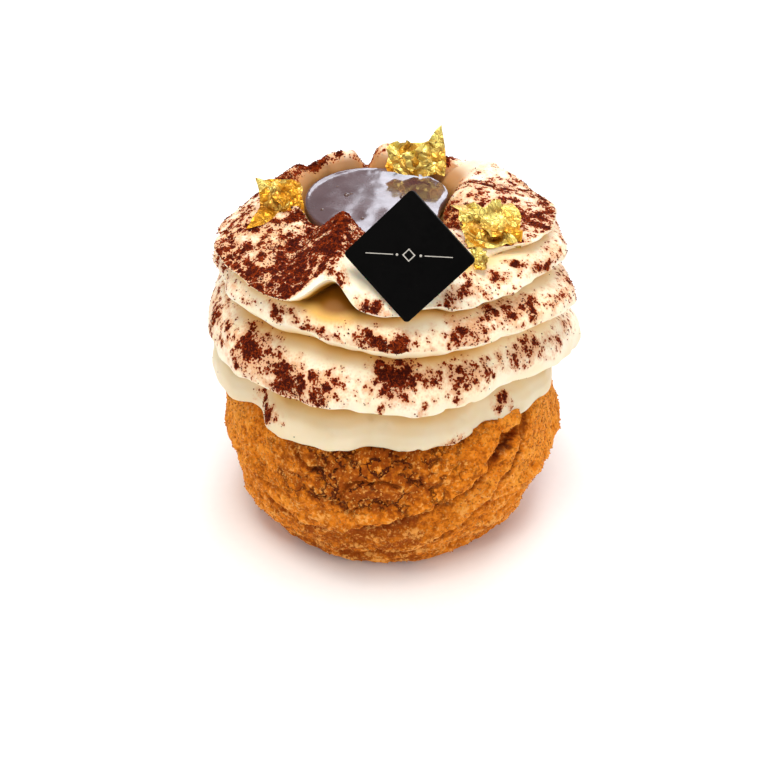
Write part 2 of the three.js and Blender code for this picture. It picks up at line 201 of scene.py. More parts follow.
def from_to(low, high, to_low=0.0, to_high=1.0):
    """The inputs that take the values between low and high to a new range."""
    return {"From Min": low, "From Max": high, "To Min": to_low, "To Max": to_high}


def spots(tree, size_mm, detail=2.0, offset=0.0):
    """Noise whose spots are about size_mm across, from 0 to 1 and mostly near 0.5."""
    place = add_node(tree, "TexCoord", output="Object")
    place = add_node(tree, "Mapping", {"Vector": place, "Location": (offset, offset, offset)})
    return add_node(tree, "TexNoise", {"Vector": place, "Scale": 1 / (size_mm * MM),
                                       "Detail": detail})


def mottle(tree, size_mm, detail, first, second):
    """Two near colours that run into each other in spots about size_mm across."""
    return add_node(tree, "Mix", {0: spots(tree, size_mm, detail), 6: first, 7: second},
                    **COLOURS)


def lay_tints(tree, colour, tints):
    """Lays tints over a colour: each has its source, the range that brings it in, and a hex."""
    for source, fade_in, tint in tints:
        amount = add_node(tree, "MapRange", {"Value": source, **fade_in}, **SOFT_ENDS)
        colour = add_node(tree, "Mix", {0: amount, 6: colour, 7: tint}, **COLOURS)
    return colour


# %% [markdown]
# The camera stands in front of the pastry and looks down at it, from about a third of a
# metre, with a slightly long lens. The floor and the lights are a plain white studio: one
# wide soft light overhead, which leaves the undersides of the folds in shade, a weak one on
# each side, and a soft light behind whose mirror image gives the gel pool its pale shine.


# %% Camera
CAMERA_TARGET = Vector((-0.98, 0, 29.31)) * MM
CAMERA_DISTANCE = 318.9 * MM
CAMERA_DOWN = math.radians(36.2)
camera = bpy.data.objects.new("camera", bpy.data.cameras.new("camera"))
bpy.context.collection.objects.link(camera)
bpy.context.scene.camera = camera
camera.data.sensor_width = 36
camera.data.lens = 60.94
camera.data.clip_start = 0.01
camera.rotation_euler = (math.pi / 2 - CAMERA_DOWN, 0, 0)
camera.location = CAMERA_TARGET + CAMERA_DISTANCE * Vector(
    (0, -math.cos(CAMERA_DOWN), math.sin(CAMERA_DOWN)))
print("camera at", [round(x, 3) for x in camera.location])

# %% Floor and air
# Matt white paper: it gives back nearly all light and no mirror image.
deselect_all()
bpy.ops.mesh.primitive_plane_add(size=6)
floor = bpy.context.object
floor.name = "floor"
white_paper, tree, shader = new_material("matt_white_paper", Roughness=0.9)
tree.links.new(mottle(tree, 2, 2.0, "#F6F6F6", "#FAFAFA"), shader.inputs["Base Color"])
floor.data.materials.append(white_paper)
world = bpy.data.worlds.new("studio")
bpy.context.scene.world = world
world.use_nodes = True
world.node_tree.nodes["Background"].inputs["Color"].default_value = linear("#F4F7FB")
world.node_tree.nodes["Background"].inputs["Strength"].default_value = 0.42
print("floor:", floor.name, "under", world.name)


# %% Lights
def soft_light(name, place, size, power, colour):
    """A soft area light at a place in metres, turned towards the pastry's top half."""
    light = bpy.data.objects.new(name, bpy.data.lights.new(name, "AREA"))
    bpy.context.collection.objects.link(light)
    light.data.shape = "RECTANGLE"
    light.data.size, light.data.size_y = size
    light.data.energy = power
    light.data.color = linear(colour)[:3]
    light.location = place
    aim = Vector((0, 0, 0.06)) - light.location
    light.rotation_euler = aim.to_track_quat("-Z", "Y").to_euler()
    print(f"{name} light: {power} W")


soft_light("overhead", Vector((-0.04, -0.1, 0.85)), (0.5, 0.5), 6.5, "#FFFBF4")
soft_light("left", Vector((-0.75, -0.5, 0.45)), (0.5, 0.5), 1.5, "#FFFBF4")
soft_light("right", Vector((0.75, -0.5, 0.45)), (0.5, 0.5), 2.1, "#FFFBF4")
soft_light("back", Vector((0.225, 0.6, 0.43)), (0.5, 0.36), 2.6, "#EEF3FF")

# %% [markdown]
# ## Shapes from formulas
# A few small functions describe every form here: a bell-shaped bump, a soft step, and a
# smooth curve through evenly spaced values.


# %% Shape functions
def bump(distance, width):
    """A bell shape: 1 in the middle, fading to 0 a few widths away."""
    return np.exp(-((distance / width) ** 2))


def soft_step(x, low, high):
    """0 below low, 1 above high, and a smooth rise between."""
    t = np.clip((x - low) / (high - low), 0, 1)
    return t * t * (3 - 2 * t)


def mix(a, b, amount):
    """From a at 0 to b at 1."""
    return a + (b - a) * amount


def turn_between(a, b):
    """The signed angle from b to a in degrees, the short way round."""
    return (a - b + 180) % 360 - 180


def through_table(table, x):
    """A smooth curve through the table's values, with x counted in entries."""
    table = np.asarray(table, dtype=float)
    i = np.clip(np.floor(x).astype(int), 0, len(table) - 2)
    f = np.clip(x - i, 0, 1)

    def at(n):
        return table[np.clip(n, 0, len(table) - 1)]

    slope_in = (at(i + 1) - at(i - 1)) / 2
    slope_out = (at(i + 2) - at(i)) / 2
    return ((2 * f ** 3 - 3 * f ** 2 + 1) * at(i) + (f ** 3 - 2 * f ** 2 + f) * slope_in
            + (3 * f ** 2 - 2 * f ** 3) * at(i + 1) + (f ** 3 - f ** 2) * slope_out)


def noise_at(points, size_mm, seed=0.0):
    """Smooth noise from -1 to 1 at each point, with bumps about size_mm across."""
    shift = Vector((seed, seed * 1.7, seed * 0.3))
    return np.array([noise.noise(Vector(p) / size_mm + shift) for p in points])


# %% [markdown]
# ## The choux bun
# Choux dough puffs up hollow in the oven. A thin disc of sugar, butter and flour is laid on
# it before baking, and it melts over the bun and cracks into a sandy crust. The crust ends
# in a torn rim low down, and below it the plainer shell bulges out.
#
# The bun's outline is already right in the frame, so the piece starts as a copy of it. A
# voxel remesh gives it even, fine faces, and a smooth modifier takes the coarse edges off.
# Folds, cracks and crumbs are then pushed in and out along the normals in code, because
# they follow each other: the same numbers also colour the crust.


# %% Bun: even faces
BUN_VOXEL = 0.5
bun = copy_of_node("choux_bun")
apply_modifier(bun, "REMESH", mode="VOXEL", voxel_size=BUN_VOXEL * MM)
apply_modifier(bun, "SMOOTH", factor=0.5, iterations=10)
bun_points = read_points(bun)
bun_normals = read_normals(bun)
print("bun points:", len(bun_points))

# %% [markdown]
# The crust is torn where the dough pushed it apart. Each tear is a line on the bun's side,
# given by a few places on it: a valley follows the line, and the crust above it stands out
# like a shelf. The widest tear rises from the lower front to the cream on the right. Below
# each shelf the crust's colour gets painted shade. From above, a shelf hides the valley
# under it, so this painted shade is laid a little lower than the valley itself, where it
# can be seen.

# %% Bun: torn folds of the crust
# Each fold: its places as azimuth and height, half width, depth and shelf in mm.
CRUST_FOLDS = [
    ([(259, 17.6), (267, 19), (274, 20.6), (282, 22.2), (290, 24.8), (297, 27), (301, 29.6),
      (304, 32.6), (309, 34.6), (317, 36.6)], 1.5, 3.4, 1.8),
    ([(308, 22.6), (314, 27), (318.5, 30.6), (320.5, 34.4), (325, 37.6)], 1.1, 1.9, 0.9),
    ([(322, 17.6), (334, 18.4), (343, 19), (355, 20.4), (372, 22)], 1.1, 1.2, 1.4),
    ([(222, 17.8), (229, 16), (237, 14.6), (245, 15), (253, 15.4)], 0.8, 1.5, 0.9),
    ([(219, 22.6), (224, 22.2), (231, 23.2), (236, 22.4)], 0.7, 1.2, 0.6),
    ([(237, 35.4), (240, 33), (243.5, 31.6), (247, 33), (250, 34.6)], 0.45, 1.1, 0.2),
    ([(253, 26), (255.5, 28.8), (258, 31), (262, 31.6), (268, 32.2), (273, 31)], 0.45, 1.2, 0.3),
    ([(244, 25), (249, 26), (254, 25.2), (258, 22.4)], 0.45, 0.8, 0.2),
    ([(276, 33.5), (281, 31), (284, 28.2)], 0.5, 0.7, 0.2),
    ([(252, 5.6), (260, 6), (268, 6.8), (277, 8)], 0.7, 1.0, 0.5),
    ([(286, 12), (294, 13.6), (303, 17), (309, 21)], 0.9, 1.2, 0.6),
    ([(150, 21), (165, 19), (180, 20), (195, 22), (208, 21)], 1.2, 1.7, 1.0),
    ([(20, 24), (38, 20), (56, 22), (75, 19), (92, 21)], 1.2, 1.8, 1.1),
    ([(100, 26), (116, 24), (135, 26)], 0.9, 1.2, 0.7),
]
# How far above its line a shelf stands out most, and its half width, in mm.
SHELF_ABOVE, SHELF_WIDTH = 1.4, 2.2
SIDE_RADIUS = 38.5
azimuth = np.degrees(np.arctan2(bun_points[:, 1], bun_points[:, 0])) % 360
height = bun_points[:, 2]


def fold_line(places, azimuths, heights):
    """Distance from each point to a line on the bun's side, negative below the line."""
    x = np.radians(turn_between(azimuths, places[0][0])) * SIDE_RADIUS
    corners = [(np.radians(a - places[0][0]) * SIDE_RADIUS, z) for a, z in places]
    nearest = np.full(len(x), 1e9)
    for (ax, az), (bx, bz) in zip(corners, corners[1:]):
        along = ((x - ax) * (bx - ax) + (heights - az) * (bz - az))
        along = np.clip(along / ((bx - ax) ** 2 + (bz - az) ** 2), 0, 1)
        gap = np.hypot(x - mix(ax, bx, along), heights - mix(az, bz, along))
        side = np.sign((bx - ax) * (heights - az) - (bz - az) * (x - ax))
        closer = gap < np.abs(nearest)
        nearest = np.where(closer, gap * np.where(side == 0, 1, side), nearest)
    return nearest


wander_x = 0.8 * noise_at(bun_points, 5, 2.0) + 0.6 * noise_at(bun_points, 1.8, 9.0)
wander_z = 0.8 * noise_at(bun_points, 4, 5.0) + 0.6 * noise_at(bun_points, 1.6, 3.0)
folds = np.zeros(len(bun_points))
fold_shade = np.zeros(len(bun_points))
for places, half_width, depth, shelf in CRUST_FOLDS:
    above = fold_line(places, azimuth + np.degrees(wander_x / SIDE_RADIUS), height + wander_z)
    valley = bump(above + 0.7 * half_width, half_width)
    folds += shelf * bump(above - SHELF_ABOVE, SHELF_WIDTH) * (above > 0) - depth * valley
    folds += shelf * bump(SHELF_ABOVE, SHELF_WIDTH) * bump(above, 0.8) * (above <= 0)
    # Painted shade: the band just below each shelf, kept to darken the crust's colour there.
    shade = bump(above + 1.5 * half_width, 1.2 * half_width)
    fold_shade = np.maximum(fold_shade, shade * min(1, depth / 1.5))
print("crust folds:", len(CRUST_FOLDS))

# %% [markdown]
# Voronoi noise gives the fine cracks: the nearest and second nearest cell points are equally
# far away along a cell's edge, so the difference of the two distances is zero in a crack.
# The points are shifted by finer noise first, which makes the cracks jagged, and a slow
# noise leaves only some of them open. The lumps between them come from noise whose sign is
# dropped: it is round on top and creased where it passes zero, like a craggy crust.


# %% Bun: cracks, lumps and crumbs
def crack_lines(points, size_mm, jag_mm, seed):
    """Distance to the nearest crack, as a part of the size of the plates between cracks."""
    gaps = []
    for p in points:
        place = Vector(p)
        jag = noise.noise_vector(place / (size_mm * 0.3)) * jag_mm
        distances = noise.voronoi((place + jag) / size_mm + Vector((seed, 0, 0)))[0]
        gaps.append(distances[1] - distances[0])
    return np.array(gaps)


front = bump(turn_between(azimuth, 262), 36) * soft_step(height, 19, 27)
open_here = soft_step(noise_at(bun_points, 9, 4.0), -0.1, 0.3) * (0.3 + 0.7 * front)
cracks = (1 - soft_step(crack_lines(bun_points, 4.2, 1.3, 8.0), 0.0, 0.15)) * open_here
flat_points = bun_points * np.array([1, 1, 2.1])
low_shell = 1 - soft_step(height, 16, 26)
lumps = 0.45 * np.abs(noise_at(bun_points, 5.2, 1.0)) + 0.5 * np.abs(noise_at(bun_points, 2.3, 5.0))
lumps += (0.35 + 0.7 * low_shell) * np.abs(noise_at(flat_points, 6, 7.0)) - 0.3
crumbs = 0.2 * noise_at(bun_points, 0.95, 3.0)
open_foot = soft_step(height, 0.3, 3.0)
relief = (folds - 0.7 * cracks + lumps + crumbs) * open_foot
relief *= 1 - soft_step(height, 40.5, 43)
bun_points = bun_points + bun_normals * relief[:, None]
bun_points[:, 2] = np.maximum(bun_points[:, 2], 0)
write_points(bun, bun_points)
print("crust relief:", round(float(relief.min()), 1), "to", round(float(relief.max()), 1), "mm")

# %% [markdown]
# Four numbers are kept for the bun's material: how open a crack is, with the painted shade
# below the folds added in, how high a crumb stands, how dark the crust is, and where hairline
# cracks may open. The darkness holds a baked tone that varies at random, and painted shade:
# the crust is painted darkest on the upper front, under the cream, again low down at the
# front, and below the folds.

# %% Bun: numbers for its material
# Painted shade on the upper front, under the cream, over a baked tone that varies at random.
baked_and_shaded = 0.2 + 0.76 * front + 0.25 * noise_at(bun_points, 9, 6.0)
low_front = 0.35 + 0.65 * bump(turn_between(azimuth, 255), 30)
# Painted shade low down at the front and below the folds.
baked_and_shaded += 0.75 * (1 - soft_step(height, 12, 28)) * low_front + 0.3 * fold_shade
store_values(bun, "crack_and_fold_shade", np.clip(cracks + 0.66 * fold_shade, 0, 1))
store_values(bun, "crumb", 0.5 + 1.2 * crumbs + 0.6 * lumps)
store_values(bun, "baked_and_shaded", np.clip(baked_and_shaded, 0, 1))
store_values(bun, "open", np.clip(0.04 + 0.96 * front, 0, 1) * soft_step(height, 4, 10))

# %% [markdown]
# Sugar crust is a baked dough of butter, brown sugar and flour: matt, grainy and golden to
# dark brown, with pale sugar grains on its high points and dark, moist crack bottoms. Its
# colour also carries painted shade: below the folds, on the upper and lower front, and in
# the low spots between grains. Its surface is so rough that it gives back almost no mirror
# light, so the specular level is low. The hairline cracks are finer than the mesh, so a
# Voronoi texture draws them: they are the edges of its cells, made jagged by coordinates
# that noise pushes about. Sugar grains are about 0.3 mm and hardly show, so the coarse grain
# is drawn at 0.7 mm.


# %% Bun: a wavering pattern for hairline cracks
def wavering(tree, size_mm, reach_mm):
    """Object coordinates that noise pushes about, which makes straight lines jagged."""
    place = add_node(tree, "TexCoord", output="Object")
    push = add_node(tree, "TexNoise", {"Vector": place, "Scale": 1 / (size_mm * MM)},
                    output="Color")
    push = add_node(tree, "VectorMath", {0: push, 1: Vector((1, 1, 1)) * reach_mm * MM},
                    operation="MULTIPLY")
    return add_node(tree, "VectorMath", {0: place, 1: push}, operation="ADD")


# %% Bun: sugar crust colours
sugar_crust, tree, shader = new_material(
    "baked_sugar_crust", IOR=1.45, Specular_IOR_Level=0.12, Subsurface_Weight=0.1,
    Subsurface_Radius=(1.0, 0.4, 0.12), Subsurface_Scale=1.0 * MM)
crack_and_fold_shade, crumb, bake_and_shade, may_open = (add_node(tree, "Attribute", output="Fac", attribute_name=name)
                                for name in ("crack_and_fold_shade", "crumb", "baked_and_shaded", "open"))
grain = spots(tree, 0.7, 3.0)
browning = add_node(tree, "MapRange", {"Value": spots(tree, 1.8, 3.0, 0.3),
                                       **from_to(0.3, 0.7, -0.22, 0.22)}, **SOFT_ENDS)
bake_and_shade = add_node(tree, "Math", {0: bake_and_shade, 1: browning}, operation="ADD")
lift = add_node(tree, "MapRange", {"Value": grain, **from_to(0.3, 0.7, 0.24, 0.68)}, **SOFT_ENDS)
lifted = add_node(tree, "Math", {0: crumb, 1: lift}, operation="ADD")
# The two browner tints follow the stored darkness, so they carry its painted shade too.
crust_colour = lay_tints(tree, "#F09832", [
    (bake_and_shade, from_to(0.05, 0.55), "#E07E18"),
    (bake_and_shade, from_to(0.45, 1.0), "#9C4A0A"),
    # Painted shade in the low spots between grains.
    (lifted, from_to(0.98, 0.62, 0.0, 0.7), "#863A06"),
    (lifted, from_to(1.04, 1.36, 0.0, 0.75), "#F6AE56"),
])

# %% Bun: cracks and grain in the crust
plate_edges = add_node(tree, "TexVoronoi", {"Vector": wavering(tree, 1.1, 2.6),
                                            "Scale": 1 / (3.4 * MM)}, feature="DISTANCE_TO_EDGE")
hairlines = add_node(tree, "MapRange", {"Value": plate_edges, **from_to(0.015, 0.09, 1, 0)},
                     **SOFT_ENDS)
some = add_node(tree, "MapRange", {"Value": spots(tree, 4, 1.0, 0.9), **from_to(0.45, 0.56)},
                **SOFT_ENDS)
for limit in (some, may_open):
    hairlines = add_node(tree, "Math", {0: hairlines, 1: limit}, operation="MULTIPLY")
# The dark crack colour also paints shade below the folds, which the stored number carries.
wide = add_node(tree, "MapRange", {"Value": crack_and_fold_shade, **from_to(0.3, 0.95, 0.0, 0.9)}, **SOFT_ENDS)
cracks_and_shade = add_node(tree, "Math", {0: wide, 1: hairlines}, operation="MAXIMUM")
cracked_and_shaded = add_node(tree, "Mix", {0: cracks_and_shade, 6: crust_colour, 7: "#4E1804"}, **COLOURS)
tree.links.new(cracked_and_shaded, shader.inputs["Base Color"])
rough = add_node(tree, "MapRange", {"Value": grain, **from_to(0.4, 0.75, 0.9, 0.6)}, **SOFT_ENDS)
tree.links.new(rough, shader.inputs["Roughness"])
sunk_lines = add_node(tree, "Math", {0: hairlines, 1: -1.0}, operation="MULTIPLY")
relief_bump = add_node(tree, "Bump", {"Height": grain, "Strength": 0.6, "Distance": 0.5 * MM})
for height_map, strength, depth_mm in ((spots(tree, 0.22, 2.0, 0.7), 0.3, 0.2),
                                       (sunk_lines, 1.0, 0.6)):
    relief_bump = add_node(tree, "Bump", {"Height": height_map, "Normal": relief_bump,
                                          "Strength": strength, "Distance": depth_mm * MM})
tree.links.new(relief_bump, shader.inputs["Normal"])
hand_over(bun, "bun_sugar_crust", sugar_crust, "choux", "choux_bun")
smooth_shading(bun)

# %% [markdown]
# ## The piped cream
# One ribbon of whipped cream leaves a flat petal nozzle. The bun is turned under it, so the
# ribbon starts at the top front, winds round four and a half times and ends low at the
# back. Its outer edge, the lip, hangs down over the turn below, with a deep recess behind.
#
# A spiral like this has no flat blank to extrude it from. The piece starts as a plain grid
# instead, and each point of the grid is wrapped to its place on the ribbon: across the grid
# is the way round, and down the grid is the way down the turns. Rows follow the lips, so the
# ribbon's edges stay crisp, and after one turn a row meets the next row but thirty.

# %% Cream: the ribbon's measures
TURN_START = 300
TURNS = 4.5
BLEND_IN = 0.1
CREST_TURN = -0.3
# The lip's height and radius, one value for each quarter turn from the start at the top.
LIP_HEIGHT = [80, 76, 71, 74.2, 73.2, 69.5, 63.5, 67.5, 65.5, 58.5, 53, 52, 51.5, 43.5,
              43, 39.5, 38.8, 35.8, 40.6]
LIP_RADIUS = [30.5, 34.5, 34, 39.5, 37.5, 39.5, 38.5, 39.5, 40.5, 40.5, 40.5, 42.5, 41, 44.5,
              41.5, 40.8, 38, 40.5, 38.5]
# Folds in the lip: place in turns, half width in turns, outward reach, rise.
LIP_FOLDS = [
    (0.13, 0.1, 4.2, 0), (0.862, 0.022, -4.8, 4.8), (0.955, 0.02, -1.5, 0.6),
    (1.14, 0.04, 1.6, 0), (1.83, 0.02, -1.2, 0.8), (1.87, 0.04, -1, -0.4),
    (2.115, 0.035, 3.4, -0.6), (2.95, 0.035, 1, -1), (3.03, 0.03, -2.2, 0.4),
    (3.15, 0.035, 1.6, -1.6), (3.67, 0.03, 1.2, 0), (3.775, 0.02, -2.6, 1.2),
    (3.83, 0.03, 1.3, 0.4), (3.9, 0.02, -1.4, 0), (4.02, 0.025, -2, 1.4),
]
EDGE_TUCK = 0.8
RECESS_DEPTH = 7
RECESS_DROP = 0.33
POOL = np.array([-2.3, 5.5])
WELL_RADIUS = 17.5
WELL_FLOOR = 73
CREST_RADIUS = 23
CREST_HEIGHT = 78.8
# Petals and the dips between them: azimuth, half width in degrees, rise, outward reach.
PETALS = [
    (283, 20, 4.8, 7), (249, 12, 5.2, -3), (228, 5, -0.8, -3), (200, 18, 1, -3.5),
    (166, 10, -1, 3), (147, 6, 0.6, 0), (139, 3, -1, -1), (131, 6, 0.8, -3),
    (112, 7, 1.2, -2), (98, 5, -3.4, -3), (85, 6, 1.5, 0), (66, 6, -1.2, -3),
    (50, 6, 0.8, 0), (40, 3, -1.4, 1), (29, 7, 0.9, 7), (355, 20, 2.6, -2),
    (322, 8, -1.2, 0),
]
GAP = 0.35
BUN_RADIUS = 39.5
BUN_FOOT_RADIUS = 31.5
BUN_WIDEST_AT = 19
BUN_TOP = 46
BUN_SHOULDER = 33


# %% Cream: lips, crest and seat
def bun_profile(z):
    """Radius of the plain bun at a height."""
    low = np.sin(np.pi / 2 * np.clip(z, 0, BUN_WIDEST_AT) / BUN_WIDEST_AT) ** 0.62
    s = np.clip((z - BUN_WIDEST_AT) / (BUN_TOP - BUN_WIDEST_AT), 0, 1)
    side = BUN_RADIUS * np.sqrt(1 - s ** 5.5)
    return np.where(z < BUN_WIDEST_AT, mix(BUN_FOOT_RADIUS, BUN_RADIUS, low), side)


def bun_top_at(radius):
    """Height of the bun's domed top at a radius."""
    s = (1 - np.clip(radius / BUN_RADIUS, 0, 1) ** 2) ** (1 / 5.5)
    return BUN_WIDEST_AT + (BUN_TOP - BUN_WIDEST_AT) * s


def lip_at(turn):
    """Radius and height of the ribbon's lip, by turns from its start."""
    wave = 0.45 * np.sin(2 * np.pi * 7.3 * turn + 1) + 0.3 * np.sin(2 * np.pi * 12.7 * turn)
    ripple = 0.13 * np.sin(2 * np.pi * (21.3 * turn + 0.6 * np.sin(9 * turn)))
    ripple = ripple + 0.09 * np.sin(2 * np.pi * (37.1 * turn + 0.8 * np.sin(13 * turn)))
    reach = wave + ripple
    rise = 0.35 * wave - 0.8 * ripple
    for at, width, fold_reach, fold_rise in LIP_FOLDS:
        here = bump(turn - at, width)
        reach = reach + fold_reach * here
        rise = rise + fold_rise * here
    z = through_table(LIP_HEIGHT, turn * 4) + rise
    return np.maximum(through_table(LIP_RADIUS, turn * 4) + reach, bun_profile(z) + 1), z


def crest_at(azimuth):
    """Radius from the pool's centre and height of the petals' crest."""
    r = np.full_like(azimuth, CREST_RADIUS, dtype=float)
    z = np.full_like(azimuth, CREST_HEIGHT, dtype=float)
    for at, width, rise, reach in PETALS:
        here = bump(turn_between(azimuth, at), width)
        r = r + reach * here
        z = z + rise * here
    return r, z


def lips_at(turn):
    """How many lips stand one above the other at a part of a turn."""
    return np.where(turn < TURNS - 4, 5, 4)


SHOULDER_HEIGHT = float(bun_top_at(BUN_SHOULDER))


def seat_height(turn):
    """Height at which the cream, tucked in behind its last lip, meets the bun."""
    last = lip_at(turn % 1 + lips_at(turn % 1) - 1)[1]
    return np.minimum(last + EDGE_TUCK, SHOULDER_HEIGHT - 0.4)


# %% Cream: the profile between lips
def curve_through(a, c, b, s):
    """The curve from a to b that is pulled towards c; each is a radius and a height."""
    return tuple((1 - s) ** 2 * a[i] + 2 * s * (1 - s) * c[i] + s * s * b[i] for i in (0, 1))


def petal_slope(crest, lip, azimuth, s):
    """From a petal's crest down its outer slope to the lip below."""
    fullness = 0.15 + 0.75 * bump(turn_between(azimuth, 272), 34)
    straight = [mix(crest[i], lip[i], 0.5) for i in (0, 1)]
    full = (lip[0] - 1.5, crest[1] - 0.5)
    pulled = [mix(straight[i], full[i], fullness) for i in (0, 1)]
    return curve_through(crest, pulled, lip, s)


def ruffle(upper, lower, p):
    """From one lip back into the recess and out over the next turn to its lip."""
    recess = 0.31
    drop = upper[1] - lower[1]
    core = np.minimum(upper[0], lower[0]) - np.clip(0.65 * drop, 1.2, RECESS_DEPTH)
    a = np.clip(p / recess, 0, 1)
    b = np.clip((p - recess) / (1 - recess), 0, 1)
    r_in, z_in = mix(upper[0], core, a), upper[1] - RECESS_DROP * drop * np.sin(a * np.pi / 2)
    r_out = mix(core, lower[0], 1 - (1 - b) ** 1.9)
    z_out = upper[1] - drop * mix(RECESS_DROP, 1, b ** 1.5)
    return np.where(p < recess, r_in, r_out), np.where(p < recess, z_in, z_out)


def underside(lip, edge, p):
    """The underside of the last lip, in to the bun."""
    return mix(lip[0], edge[0], p), mix(lip[1], edge[1], p * p) - 0.35 * np.sin(np.pi * p)


# %% Cream: from a place on the grid to a place on the ribbon
def ribbon_place(turn, q):
    """Points of the cream at a part of a turn and q turns below the petals."""
    azimuth = TURN_START + 360 * turn
    lips = lips_at(turn)
    crest = crest_at(azimuth)
    k = np.clip(np.floor(q - turn), 0, lips - 1)
    p = np.clip(q - turn - k, 0, 1)
    here, below = lip_at(turn + k), lip_at(turn + k + 1)
    seat_z = seat_height(turn)
    seat = (bun_profile(seat_z) + GAP, seat_z)
    between = ruffle(here, below, p)
    tail = underside(here, seat, p)
    is_last = k >= lips - 1
    r = np.where(is_last, tail[0], between[0])
    z = np.where(is_last, tail[1], between[1])
    centre = np.zeros_like(q)

    def slope(target):
        s = np.clip((q - CREST_TURN) / (target - CREST_TURN), 0, 1)
        point = petal_slope(crest, lip_at(target), azimuth, s)
        return point[0], point[1], (1 - s) ** 1.2

    own, plain = slope(turn), slope(turn + 1)
    on_slope = q <= turn
    r, z, centre = (np.where(on_slope, a, b) for a, b in zip(own, (r, z, centre)))
    shown = np.where(q >= turn + 1, 1, soft_step(turn, 0, BLEND_IN))
    r, z, centre = (mix(a, b, shown) for a, b in zip(plain, (r, z, centre)))

    # The well inside the crest, from its rim down to the middle of its floor.
    s = np.clip(q - CREST_TURN + 1, 0, 1)
    bulge = 2.8 * bump(turn_between(azimuth, 350), 22)
    wall = WELL_RADIUS + 0.5 * np.sin(np.radians(azimuth * 3 + 40)) - bulge
    rounded = (wall + 0.6, crest[1] - 0.4)
    side = curve_through((wall, WELL_FLOOR), rounded, crest, np.clip((s - 0.25) / 0.75, 0, 1))
    in_well = q < CREST_TURN
    on_floor = in_well & (s <= 0.25)
    r = np.where(on_floor, wall * s / 0.25, np.where(in_well, side[0], r))
    z = np.where(on_floor, WELL_FLOOR, np.where(in_well, side[1], z))
    centre = np.where(in_well, 1, centre)

    # The hidden seat on the bun, which closes the mesh over the bun's top.
    end = np.where(turn < TURNS - 4, turn + 5, 6 - turn)
    e = (q - end) / 0.3
    seat_rise = mix(seat_z, SHOULDER_HEIGHT, np.clip(e, 0, 1))
    r_seat = bun_profile(seat_rise) + GAP
    r_top = np.maximum(r_seat * (2 - e), 0)
    r_seat = np.where(e > 1, r_top, r_seat)
    z_seat = np.where(e > 1, bun_top_at(np.clip(r_top, 0, BUN_SHOULDER)) + GAP,
                      seat_rise + GAP * np.clip(e, 0, 1))
    seated = q >= turn + lips
    r, z = np.where(seated, r_seat, r), np.where(seated, z_seat, z)

    a = np.radians(azimuth)
    x = POOL[0] * centre + r * np.cos(a)
    y = POOL[1] * centre + r * np.sin(a)
    return np.column_stack([x, y, z])


# %% [markdown]
# The grid is added with one operator. A row's number and a column's number come back out of
# its flat x and y, and rows are drawn closer together near the lips, where the ribbon bends
# most. The first and last columns meet after the wrap, so merging by distance closes the
# seam, and the rows that fall together at the top and the foot merge to points.


# %% Cream: wrap the grid
COLUMNS = 420
ROWS_PER_TURN = 30
FIRST_ROW = -2.3
LAST_ROW = 5.6
ROWS = round((LAST_ROW - FIRST_ROW) * ROWS_PER_TURN)
deselect_all()
bpy.ops.mesh.primitive_grid_add(x_subdivisions=COLUMNS, y_subdivisions=ROWS, size=2)
cream = bpy.context.object
flat = read_points(cream) * MM
turn = np.round((flat[:, 0] + 1) / 2 * COLUMNS) / COLUMNS
down = FIRST_ROW + np.round((flat[:, 1] + 1) / 2 * ROWS) / ROWS_PER_TURN
crowded = np.floor(down) + (down % 1) - 0.4 * np.sin(2 * np.pi * down) / (2 * np.pi)
q = turn + crowded
is_seam = turn >= 1
turn = np.where(is_seam, 0, turn)
cream_points = ribbon_place(turn, q)
write_points(cream, cream_points)
store_values(cream, "turn", turn)
store_values(cream, "down", q)
close_seams(cream, 0.002)
print("cream points:", len(cream.data.vertices))

# %% [markdown]
# Whipped cream isn't glassy smooth: it sags a little, keeps faint drag lines from the
# nozzle's edge along the ribbon, and has small dents where air escaped. The petal at the
# back right has a few pleats besides. All are pushed in along the normals, and they fade
# out on the hidden seat.

# %% Cream: sag, drag lines and dents
# The pleats' middle and spacing, in degrees round the pool's middle.
PLEATS_AT = 34
PLEAT_SPACING = 6.5


def stored(piece, name):
    """Reads back the numbers kept for each point under a name."""
    values = np.empty(len(piece.data.vertices))
    piece.data.attributes[name].data.foreach_get("value", values)
    return values


cream_points = read_points(cream)
cream_normals = read_normals(cream)
turn = stored(cream, "turn")
q = stored(cream, "down")
phase = (q - turn) % 1
on_ribbon = (q > turn) & (q < turn + lips_at(turn))
shown = soft_step(q, CREST_TURN - 0.6, CREST_TURN) * (1 - soft_step(q, 4.9, 5.0))
drag = np.sin(2 * np.pi * (6 * phase + 0.8 * noise_at(cream_points, 22, 2.0)))
drag *= 0.055 * soft_step(phase, 0.35, 0.5) * (1 - soft_step(phase, 0.88, 0.97))
sag = 0.3 * noise_at(cream_points, 7.5, 1.0) + 0.13 * noise_at(cream_points, 3, 5.0)
dents = -0.3 * soft_step(noise_at(cream_points, 2.6, 8.0), 0.42, 0.62)
from_pool = np.degrees(np.arctan2(cream_points[:, 1] - POOL[1], cream_points[:, 0] - POOL[0]))
pleats = 0.32 * np.sin(2 * np.pi * from_pool / PLEAT_SPACING) * bump(from_pool - PLEATS_AT, 11)
pleats *= (q < turn + 0.3) * soft_step(q, CREST_TURN - 0.3, CREST_TURN)
cream_relief = (drag + sag + dents + pleats) * shown
cream_points = cream_points + cream_normals * cream_relief[:, None]
write_points(cream, cream_points)
cream_normals = read_normals(cream)

# %% [markdown]
# ## Where the cocoa fell
# Cocoa powder is shaken on from above. It lies thick on the petals, catches on the
# shoulders of the lips in clumps, and misses the recesses. How thick it lies is one number
# for each point of the cream: the petals get it from their upward slope, and the clumps are
# placed one by one on the ribbon. The flank of the front petal and a few other faces stay
# clean, because they were turned away when the powder fell.

